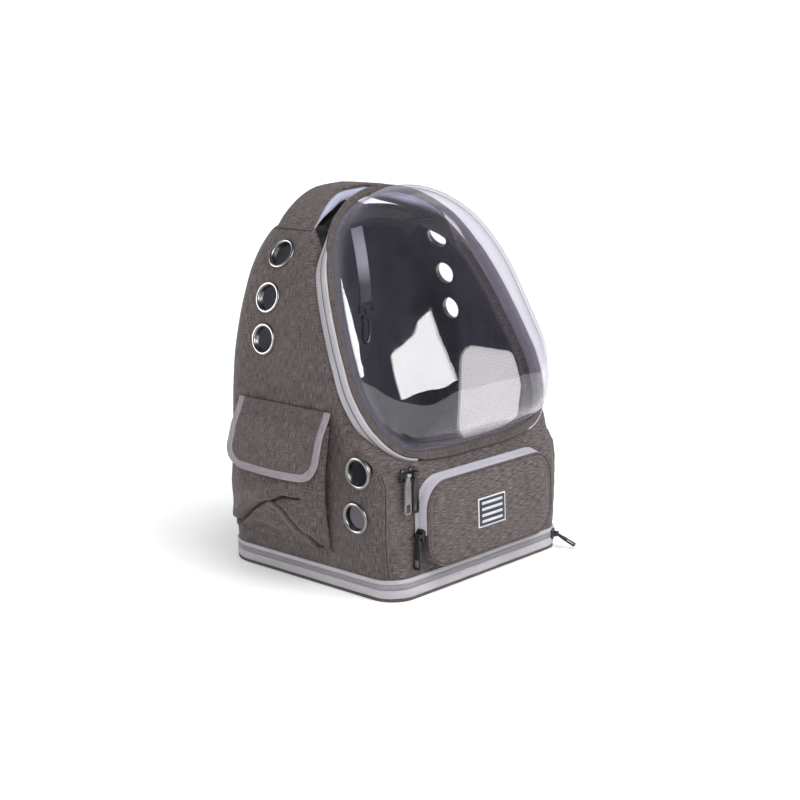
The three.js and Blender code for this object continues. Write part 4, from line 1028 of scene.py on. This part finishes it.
def make_seams():
    """The upright seam at each front corner: two lips of cloth drawn together by the stitches, and a thin
    black strip in the groove between them as painted shade.
    """
    skin = body_side(0.2)
    for side in (-1, 1):
        rings, seam_shade = [], []
        for z in np.linspace(29, 146, 90):
            low, high = (np.array([np.interp(z, column[:, 2], column[:, k]) for k in (0, 1)] + [z])
                         for column in (skin[4], skin[3]))
            at = mix(low, high, smooth(29, 146, z))
            if side > 0:
                at[0] -= float(pinch(at[1], at[2]))
            at[0] *= side
            gather = 0.5 * math.sin(z / 2.9) + 0.4 * wave(z, 0, 0, 9, 2.0 + side)
            along = np.array([0.78, side * 0.62, 0])
            out = np.array([side * 0.62, -0.78, 0])
            profile = [(-4.2, -0.9), (-2.8, 0.5), (-1.5, 1.3 + gather * 0.4), (-0.5, 0.9), (-0.2, -1.6),
                       (0.2, -1.6), (0.5, 0.7), (1.5, 1.0 - gather * 0.3), (2.8, 0.4), (4.2, -0.9), (0, -2.4)]
            rings.append([at + along * (a + gather * 0.4) + out * o for a, o in profile])
            # painted shade: a thin black strip along the groove between the lips, where the seam's shade
            # falls
            seam_shade.append([at + along * (a + gather * 0.4) + out * o
                           for a, o in ((-1, -1), (-1, 0.6), (0, 0.9), (1, 0.6), (1, -1))])
        word = "left" if side < 0 else "right"
        # the black strip is painted shade in the seam's groove
        for name, parts, look in (("seam", rings, "cloth"), ("seam_shade", seam_shade, "black")):
            dress(lofted(f"front_{name}_{word}", parts, angle=70), LOOKS[look], [])


def make_label():
    """A woven patch: a dark field with a pale edge and plain pale bars."""
    def plate(name, width, height, across, up, out, look, nodes):
        rings = []
        for inset, lift in ((0.2, -1.0), (0, -0.3), (0.4, 0), (height / 2.2, 0.05)):
            at = rounded(width - 2 * inset, height - 2 * inset, min(1.2, height / 2.5 - inset / 2))
            rings.append(on_front(LABEL_X + across + at[:, 0], POCKET_MIDDLE + up + at[:, 1], out + lift))
        dress(lofted(name, rings), LOOKS[look], nodes)

    plate("patch_edge", 50, 35, 0, 0, 23.0, "label", "front_label")
    plate("patch_field", 46.6, 31.6, 0, 0, 23.3, "label_field", [])
    for i in range(4):
        plate(f"patch_bar_{i + 1}", 38, 3.4, 0, 10.8 - 7.2 * i, 23.55, "label", [])


# Side pocket

# Creases in the pouch's slack cloth, in shares of its depth and height: depth and width of
# the valley, and how far the cloth above it sags over it.
CREASES = [
    {"line": [(0.97, 0.05), (0.9, 0.12), (0.73, 0.26), (0.56, 0.37), (0.42, 0.44), (0.3, 0.48), (0.2, 0.47)],
     "depth": 15, "width": 0.03, "sag": 11, "fold": 4.5},
    {"line": [(0.42, 0.4), (0.34, 0.28), (0.25, 0.16), (0.14, 0.1), (0.08, 0.03)],
     "depth": 12, "width": 0.028, "sag": 4, "fold": 4},
    {"line": [(0.13, 0.12), (0.1, 0.06), (0.05, 0.0)], "depth": 6, "width": 0.022, "sag": 1, "fold": 1},
    {"line": [(0.2, 0.47), (0.12, 0.56), (0.06, 0.66)], "depth": 3, "width": 0.04, "sag": 2, "fold": 1},
    {"line": [(0.88, 0.03), (0.7, 0.08), (0.5, 0.07)], "depth": 2.5, "width": 0.03, "sag": 1, "fold": 0.8},
    {"line": [(0.7, 0.5), (0.52, 0.6), (0.36, 0.62)], "depth": 2.5, "width": 0.05, "sag": 1, "fold": 0.8},
]


def near_line(along, up, line):
    """Distance from points to a broken line, and how far above it they lie."""
    best = np.full(along.shape, 9.0)
    above = np.zeros(along.shape)
    for (a0, u0), (a1, u1) in zip(line, line[1:]):
        da, du = a1 - a0, u1 - u0
        share = np.clip(((along - a0) * da + (up - u0) * du) / (da * da + du * du), 0, 1)
        far = np.hypot(along - a0 - share * da, up - u0 - share * du)
        closer = far < best
        best = np.where(closer, far, best)
        above = np.where(closer, up - u0 - share * du, above)
    return best, above


def puff_at(along, up):
    edge = np.sin(math.pi * np.clip(along, 0.004, 0.996)) ** 0.28
    lift = mix(0.28, 1, smooth(0, 0.45, up)) * mix(1, 0.5, smooth(0.62, 1, up))
    return SIDE_PUFF * edge * lift


def make_pouch():
    rows, cols = 110, 120
    up = np.linspace(0, 1, rows)[:, None] + np.zeros((rows, cols))
    along = np.linspace(0, 1, cols)[None] + np.zeros((rows, cols))
    near = SIDE_FRONT + SIDE_FRONT_TAPER * (1 - up)
    far = SIDE_BACK + SIDE_BACK_TAPER * (1 - up)
    y = mix(near, far, along)
    z = mix(SIDE_BOTTOM, SIDE_TOP, up)
    out = puff_at(along, up)
    room = smooth(0, 10, out) * smooth(0.0, 0.06, along) * smooth(0, 0.06, 1 - along)
    for crease in CREASES:
        distance, above = near_line(along, up, crease["line"])
        valley = np.exp(-((distance / crease["width"]) ** 2))
        ridge = np.exp(-(((distance - 2.2 * crease["width"]) / (1.5 * crease["width"])) ** 2))
        out = out - room * crease["depth"] * valley + room * 0.32 * crease["depth"] * ridge
        out = out + room * crease["fold"] * np.tanh(above / 0.025) * np.exp(-((distance / 0.17) ** 2))
        drop = np.exp(-(((above - 0.05) / 0.07) ** 2)) * np.exp(-((distance / 0.12) ** 2))
        z = z - room * crease["sag"] * drop
    flat = np.stack([0 * y, y, z], -1).reshape(-1, 3)
    out = out + room * (0.9 * waves(flat, 24, 2.4) + 0.4 * waves(flat, 9, 8.1)).reshape(rows, cols)
    out = np.maximum(out, 0.6)
    front = np.stack([-side_x(np.clip(z, 5, 400)) - CLEAR - out, y, z], -1)
    foot = front[:1].copy()
    foot[..., 0] = -side_x(SIDE_BOTTOM) - CLEAR
    steps = [mix(foot, front[:1], s) for s in (0, 0.35, 0.7, 0.92)]
    mesh = Mesh()
    mesh.grid(np.concatenate(steps + [front]))
    pouch = mesh.make("pouch", 60)
    box_places(pouch)
    thicken(pouch, 1.6)
    dress(pouch, LOOKS["cloth"], "side_pocket")


def thicken(obj, amount):
    step = obj.modifiers.new("thick", "SOLIDIFY")
    step.thickness = amount * 0.001
    step.offset = -1
    apply_modifiers(obj)
    return obj


def flap_point(across, drop, out):
    z = FLAP_TOP - drop
    middle = (SIDE_FRONT + SIDE_BACK) / 2
    along = 0.5 + across / (SIDE_BACK - SIDE_FRONT)
    share = (z - SIDE_BOTTOM) / (SIDE_TOP - SIDE_BOTTOM)
    on_pouch = puff_at(np.clip(along, 0.12, 0.88), share) + 2
    stand = mix(1, on_pouch, smooth(-3, 32, drop)) + 4 * drop / FLAP_LENGTH
    slack = 0.8 * np.sin(across / 17 + drop / 23) * smooth(5, 30, drop)
    return np.stack([-side_x(z) - CLEAR - stand - out - slack, middle + across, z], -1)


def flap_edge(offset, count=90):
    """The flap's outline from its front top corner round to its back one: across and drop."""
    half = (SIDE_BACK - SIDE_FRONT) / 2 - offset
    foot = FLAP_LENGTH - offset
    radius = FLAP_CORNER - offset
    turn = [(half - radius + radius * math.cos(a), foot - radius + radius * math.sin(a))
            for a in np.linspace(0, math.pi / 2, 12)]
    right = [(half, 0)] + turn
    left = [(-x, d) for x, d in reversed(right)]
    line = np.array(right + left, float)
    return even(line, count)[0]


def make_flap():
    mesh = Mesh()
    edge = flap_edge(8)
    half = len(edge) // 2
    grid = np.array([[mix(edge[i], edge[-1 - i], s) for s in np.linspace(0, 1, 50)] for i in range(half)])
    mesh.grid(flap_point(grid[..., 0], grid[..., 1], 0.4))
    flap = mesh.make("flap", 60)
    box_places(flap)
    thicken(flap, -1.6)
    dress(flap, LOOKS["cloth"], "pocket_flap")
    section = [(9, -0.6), (9.4, 1.0), (9, 2.4), (8.2, 2.9), (4.5, 3.1), (1.2, 2.8), (0.1, 2.0), (0, 0.6),
               (0.6, -0.4)]
    rings = np.array([flap_point(*flap_edge(o, 120).T, out) for o, out in section]).transpose(1, 0, 2)
    dress(lofted("flap_hem", rings, angle=60), LOOKS["binding"], "flap_binding")


# Handle

def share_across(half):
    upper = OUTLINE[:, 1] > HEIGHT / 2
    return float(np.interp(-half, -OUTLINE[upper, 0], SHARES[upper]))


def arched(half_span, steps, front_at, back_at, outer, inner):
    """Rings of a band that follows the outline over the top."""
    start = share_across(half_span)
    rings = []
    for i in range(-steps, steps + 1):
        share = mix(1, start, abs(i) / steps)
        sign = -1 if i < 0 else 1
        x, z, nx, nz = (float(v) for v in outline_at(share))
        if i == 0:
            x, nx, nz = 0, 0, 1
        rise = (share - start) / (1 - start)
        front, back, top, under = front_at(rise), back_at(rise), outer(rise), inner(rise)
        deep = top - under
        section = [(front, under + 0.3 * deep), (front, top - 0.3 * deep), (front + 1.2, top - 0.1 * deep),
                   (front + 4, top)]
        section += [(mix(front + 4, back - 4, s), top) for s in np.linspace(0.1, 0.9, 8)]
        section += [(back - 4, top), (back - 1.2, top - 0.1 * deep), (back, top - 0.3 * deep),
                    (back, under + 0.3 * deep), (back - 1.5, under), (front + 1.5, under)]
        rings.append([(sign * (x + nx * out), y, z + nz * out) for y, out in section])
    return rings


def make_handle():
    front = lambda rise: mix(22, 50, smooth(0, 0.8, rise))
    back = lambda rise: mix(80, 92, smooth(0, 0.8, rise))
    band = arched(SHOULDER, 48, front, back, lambda rise: mix(0.8, 3, smooth(0, 0.15, rise)),
                  lambda rise: mix(0.1, -1.2, smooth(0.02, 0.1, rise)))
    handle = lofted("handle_band", band, angle=60)
    box_places(handle)
    dress(handle, LOOKS["cloth"], "carry_handle")
    pad = arched(SHOULDER - 4, 48, lambda rise: front(rise) + 0.3, lambda rise: back(rise) - 1,
                 lambda rise: -1.5, lambda rise: -1.7 - mix(1.6, 11.5, smooth(0, 0.5, rise)))
    cushion = lofted("handle_cushion", pad, angle=80)
    dress(cushion, LOOKS["airmesh"], "handle_pad")


# Back pad and straps

# Across, up, out and width, as shares of the pad's and the strap's sizes
STRAP_ROWS = [(0.38, 1, 0.1, 0.9), (0.4, 0.985, 0.6, 0.95), (0.42, 0.93, 0.85, 1), (0.46, 0.78, 1, 1),
              (0.5, 0.6, 1, 1), (0.54, 0.42, 0.85, 0.9), (0.58, 0.28, 0.6, 0.7)]
WEBBING_ROWS = [(0.6, 0.245, 0.5, 1), (0.66, 0.14, 0.36, 1), (0.73, 0.02, 0.2, 1), (0.8, -0.1, 0.05, 1)]


def ribbon(rows, side, width, thickness, steps=60):
    """Rings of a flat band over the back pad; a row holds across, up, out and width as shares."""
    base = PAD_FACE + STRAP_LIFT
    places = [on_back(side * a * PAD_HALF, PAD_BOTTOM + u * PAD_LENGTH, base + o * STRAP_REACH)
              for a, u, o in (row[:3] for row in rows)]
    points, alongs = even(through(places, per=40), steps)
    rings = []
    for i, (at, along) in enumerate(zip(points, alongs)):
        share = i / (steps - 1) * (len(rows) - 1)
        low = min(int(share), len(rows) - 2)
        wide = mix(rows[low][3], rows[low + 1][3], share - low) * width / 2
        across = np.array([1, 0, 0]) - along * along[0]
        across = across / np.linalg.norm(across)
        out = np.cross(across, along)
        edge = wide - min(thickness / 2, wide * 0.2)
        half = thickness / 2
        section = [(-wide, 0), (-wide + 0.3 * half, -0.6 * half), (-edge, -half), (-edge / 2, -half),
                   (0, -half), (edge / 2, -half), (edge, -half), (wide - 0.3 * half, -0.6 * half), (wide, 0),
                   (wide - 0.3 * half, 0.6 * half), (edge, half), (edge / 2, half * 1.06), (0, half * 1.1),
                   (-edge / 2, half * 1.06), (-edge, half), (-wide + 0.3 * half, 0.6 * half)]
        rings.append([at + across * x + out * t for x, t in section])
    return rings


def swell(obj, pressure, reach):
    """Fills a soft piece by a cloth simulation, and keeps each point within reach of where it was."""
    work = obj.modifiers.new("remesh", "REMESH")
    work.mode = "VOXEL"
    work.voxel_size = 0.005
    apply_modifiers(obj)
    before = np.zeros(len(obj.data.vertices) * 3)
    obj.data.vertices.foreach_get("co", before)
    cloth = obj.modifiers.new("cloth", "CLOTH")
    cloth.settings.use_pressure = True
    cloth.settings.uniform_pressure_force = pressure
    cloth.settings.effector_weights.gravity = 0
    cloth.settings.quality = 5
    cloth.settings.tension_stiffness = 20
    cloth.settings.shrink_min = -0.01
    cloth.point_cache.frame_start = 1
    cloth.point_cache.frame_end = 20
    for step in range(1, 21):
        bpy.context.scene.frame_set(step)
    apply_modifiers(obj)
    bpy.context.scene.frame_set(1)
    after = np.zeros(len(before))
    obj.data.vertices.foreach_get("co", after)
    move = (after - before).reshape(-1, 3)
    size = np.linalg.norm(move, axis=1)[:, None]
    move = move * np.minimum(1, reach * 0.001 / np.maximum(size, 1e-9))
    obj.data.vertices.foreach_set("co", before + move.ravel())
    finer = obj.modifiers.new("finer", "SUBSURF")
    finer.levels = 1
    apply_modifiers(obj)
    shade(obj, 80)
    return obj


def make_back():
    rings = []
    rows = ((1, 0.4), (0, 2), (0, 6), (1.5, 8), (5, 8.8), (14, 9), (30, 8.6), (60, 8.6), (90, 8.6))
    for inset, out in rows:
        at = rounded(2 * (PAD_HALF - inset), PAD_LENGTH - 2 * inset, max(50 - inset, 4), 18, 10)
        rings.append(on_back(at[:, 0], PAD_BOTTOM + PAD_LENGTH / 2 + at[:, 1], out))
    pad = swell(lofted("back_cushion", rings, angle=60), 2, 3)
    box_places(pad)
    dress(pad, LOOKS["black"], "back_pad")
    for side, word in ((-1, "left"), (1, "right")):
        strap = lofted(f"strap_{word}", ribbon(STRAP_ROWS, side, STRAP_WIDTH - 3, 7.5), angle=60)
        piece = swell(strap, 3, 3)
        box_places(piece)
        dress(piece, LOOKS["black"], f"shoulder_strap_{word}")
        web = lofted(f"webbing_{word}", ribbon(WEBBING_ROWS, side, 25, 2), angle=50)
        dress(web, LOOKS["webbing"], f"strap_webbing_{word}")


# Tether

def make_tether():
    """A flat strap from the cabin's top, folded back through the ring at its foot."""
    top, end = np.array([2, 66, 396.0]), np.array([14, 62, 303.0])
    across = np.array([1, 0, 0.128])
    across = across / np.linalg.norm(across)
    rings = []
    count = 30
    for i in range(count + 1):
        share = i / count
        at = mix(top, end, share) + np.array([1.2, -2.2, 0]) * math.sin(math.pi * share) * 0.8
        thick = 1.6 if share < 0.62 else 3.0
        section = [(-10, -0.5), (-9.2, -1), (0, -1), (9.2, -1), (10, -0.5), (10, 0.5), (9.2, 1), (0, 1),
                   (-9.2, 1), (-10, 0.5)]
        rings.append([at + across * x + np.array([0, 1, 0]) * t * thick / 2 for x, t in section])
    dress(lofted("tether_webbing", rings, angle=50), LOOKS["tether"], "tether_strap")


# Hard parts that keep their solids

def keep_solid(name, look, bevel=0.35):
    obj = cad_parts[name]
    obj.data.materials.clear()
    obj.data.materials.append(LOOKS[look])
    obj.data.polygons.foreach_set("use_smooth", [True] * len(obj.data.polygons))
    soft = obj.modifiers.new("bevel", "BEVEL")
    soft.width = bevel * 0.001
    soft.segments = 2
    soft.limit_method = "ANGLE"
    soft.angle_limit = math.radians(35)
    soft.harden_normals = False
    return obj


def dress_hard_parts():
    for name in ("door_left", "door_right", "pocket", "base"):
        keep_solid(f"{name}_slider", "plastic")
    keep_solid("door_left_pull", "nickel", 0.3)
    for name in ("door_right_pull", "pocket_pull", "base_pull", "tether_ring", "snap_hook", "hook_gate"):
        keep_solid(name, "plastic", 0.3)
    for word in ("left", "right"):
        keep_solid(f"strap_adjuster_{word}", "plastic", 0.4)
    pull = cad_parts["base_pull"]
    pull.data.materials.append(LOOKS["nickel"])
    reach = [(pull.matrix_world @ face.center).x for face in pull.data.polygons]
    middle = mix(min(reach), max(reach), 0.55)
    for face, x in zip(pull.data.polygons, reach):
        face.material_index = 1 if x > middle else 0


# Studio

def glow_card(name, corners, strength):
    """A white card, its corners in metres, that shows only in reflections."""
    mesh = bpy.data.meshes.new(name)
    mesh.from_pydata(corners, [], [list(range(len(corners)))])
    obj = bpy.data.objects.new(name, mesh)
    bpy.context.scene.collection.objects.link(obj)
    look = Look(name, color=(0, 0, 0))
    glow = look.node("Emission", {"Color": (1, 1, 1, 1), "Strength": strength})
    mesh.materials.append(look.finish(glow.outputs[0]))
    for ray in ("camera", "diffuse", "transmission", "shadow"):
        setattr(obj, "visible_" + ray, False)


def make_world():
    """White to look at, pale as a light, and dim where the glossy surfaces mirror it."""
    world = bpy.data.worlds.new("studio")
    world.use_nodes = True
    tree = world.node_tree

    def node(kind, inputs, **settings):
        made = tree.nodes.new("ShaderNode" + kind)
        for key, value in settings.items():
            setattr(made, key, value)
        for key, value in inputs.items():
            if isinstance(value, bpy.types.NodeSocket):
                tree.links.new(value, made.inputs[key])
            else:
                made.inputs[key].default_value = value
        return made

    white = (1, 1, 1, 1)
    way = node("TexCoord", {}).outputs["Generated"]
    toward = node("VectorMath", {0: way, 1: (0.68, 0.62, 0.1)}, operation="DOT_PRODUCT").outputs["Value"]
    fade = node("ValToRGB", {0: toward})
    tones = ((0.05, 0.05, 0.065, 1), (0.5, 0.49, 0.59, 1))
    for element, position, tone in zip(fade.color_ramp.elements, (0, 0.95), tones):
        element.position = position
        element.color = tone
    path = node("LightPath", {}).outputs
    light = node("Background", {0: white, 1: 0.62}).outputs[0]
    mirrored = node("Background", {0: fade.outputs[0], 1: 1.0}).outputs[0]
    seen = node("Background", {0: white, 1: 1.1}).outputs[0]
    both = node("MixShader", {0: path["Is Glossy Ray"], 1: light, 2: mirrored}).outputs[0]
    whole = node("MixShader", {0: path["Is Camera Ray"], 1: both, 2: seen}).outputs[0]
    tree.links.new(whole, tree.nodes["World Output"].inputs["Surface"])
    return world


def make_studio():
    """A plain floor and sky, one soft sun, and the cards that the clear dome mirrors."""
    scene = bpy.context.scene
    scene.world = make_world()
    scene.view_settings.view_transform = "Standard"
    floor = Mesh()
    size = 6000.0
    floor.grid([[(x, y, 0) for x in np.linspace(-size, size, 5)] for y in np.linspace(-size, size, 5)])
    plane = floor.make("floor")
    look = Look("floor", rough=0.9)
    look.color(look.ramp(look.cloudy(900), [(0.3, (0.9, 0.9, 0.9)), (0.7, (0.93, 0.93, 0.93))]))
    look.surface.inputs["Specular IOR Level"].default_value = 0.1
    look.surface.inputs["Emission Color"].default_value = (1, 1, 1, 1)
    look.surface.inputs["Emission Strength"].default_value = 0.2
    plane.data.materials.append(look.material)
    lamp = bpy.data.lights.new("sky", "SUN")
    lamp.energy = 2.4
    lamp.angle = math.radians(55)
    sun = bpy.data.objects.new("sky", lamp)
    scene.collection.objects.link(sun)
    sun.rotation_euler = Vector((0.05, -0.7, 1.0)).to_track_quat("Z", "Y").to_euler()
    sun.visible_glossy = False
    glow_card("window", [(0.68, -1.12, 1.16), (0.4, -1.21, 1.2), (0.09, -1.27, 1.22), (-0.33, -1.24, 1.22),
                         (-0.84, -1.06, 1.2), (-0.9, -1.29, 0.8), (-0.9, -1.42, 0.26), (-0.21, -1.62, 0.46),
                         (0.28, -1.57, 0.52), (0.95, -1.25, 0.4), (0.79, -1.28, 0.74)], 10)
    glow_card("streak", [(-0.66, 1.36, 0.86), (-0.98, 1.13, 0.86), (-1.32, 0.84, 0.8), (-1.5, 0.55, 0.66),
                         (-1.5, 0.66, 0.36), (-1.24, 0.96, 0.16), (-1.0, 1.2, 0.16), (-0.7, 1.4, 0.4)], 13)
    glow_card("lamp", [(0.85, 0.1, 1.65), (1.35, 0.4, 1.3), (1.5, 0.1, 1.05), (1.2, -0.1, 1.4)], 0.9)


def make_camera():
    back = Vector((-0.7267, -0.6543, 0.2079)).normalized()
    right = Vector((0, 0, 1)).cross(back).normalized()
    up = back.cross(right)
    lens = bpy.data.cameras.new("camera")
    lens.sensor_width = 36
    lens.lens = 68.8
    lens.clip_end = 50
    obj = bpy.data.objects.new("camera", lens)
    bpy.context.scene.collection.objects.link(obj)
    turn = Matrix((right, up, back)).transposed()
    obj.matrix_world = Matrix.Translation((-1.353, -1.226, 0.578)) @ turn.to_4x4()
    bpy.context.scene.camera = obj


make_camera()
LOOKS["tether"] = tether_look()
LOOKS["shell_cloth"] = shell_look()
make_shell()
make_window()
make_eyelets()
make_base()
make_mat()
make_door_zip()
make_binding()
make_dome()
make_front_pocket()
make_pocket_tape()
make_seams()
make_label()
make_pouch()
make_flap()
make_handle()
make_back()
make_tether()
dress_hard_parts()
make_studio()
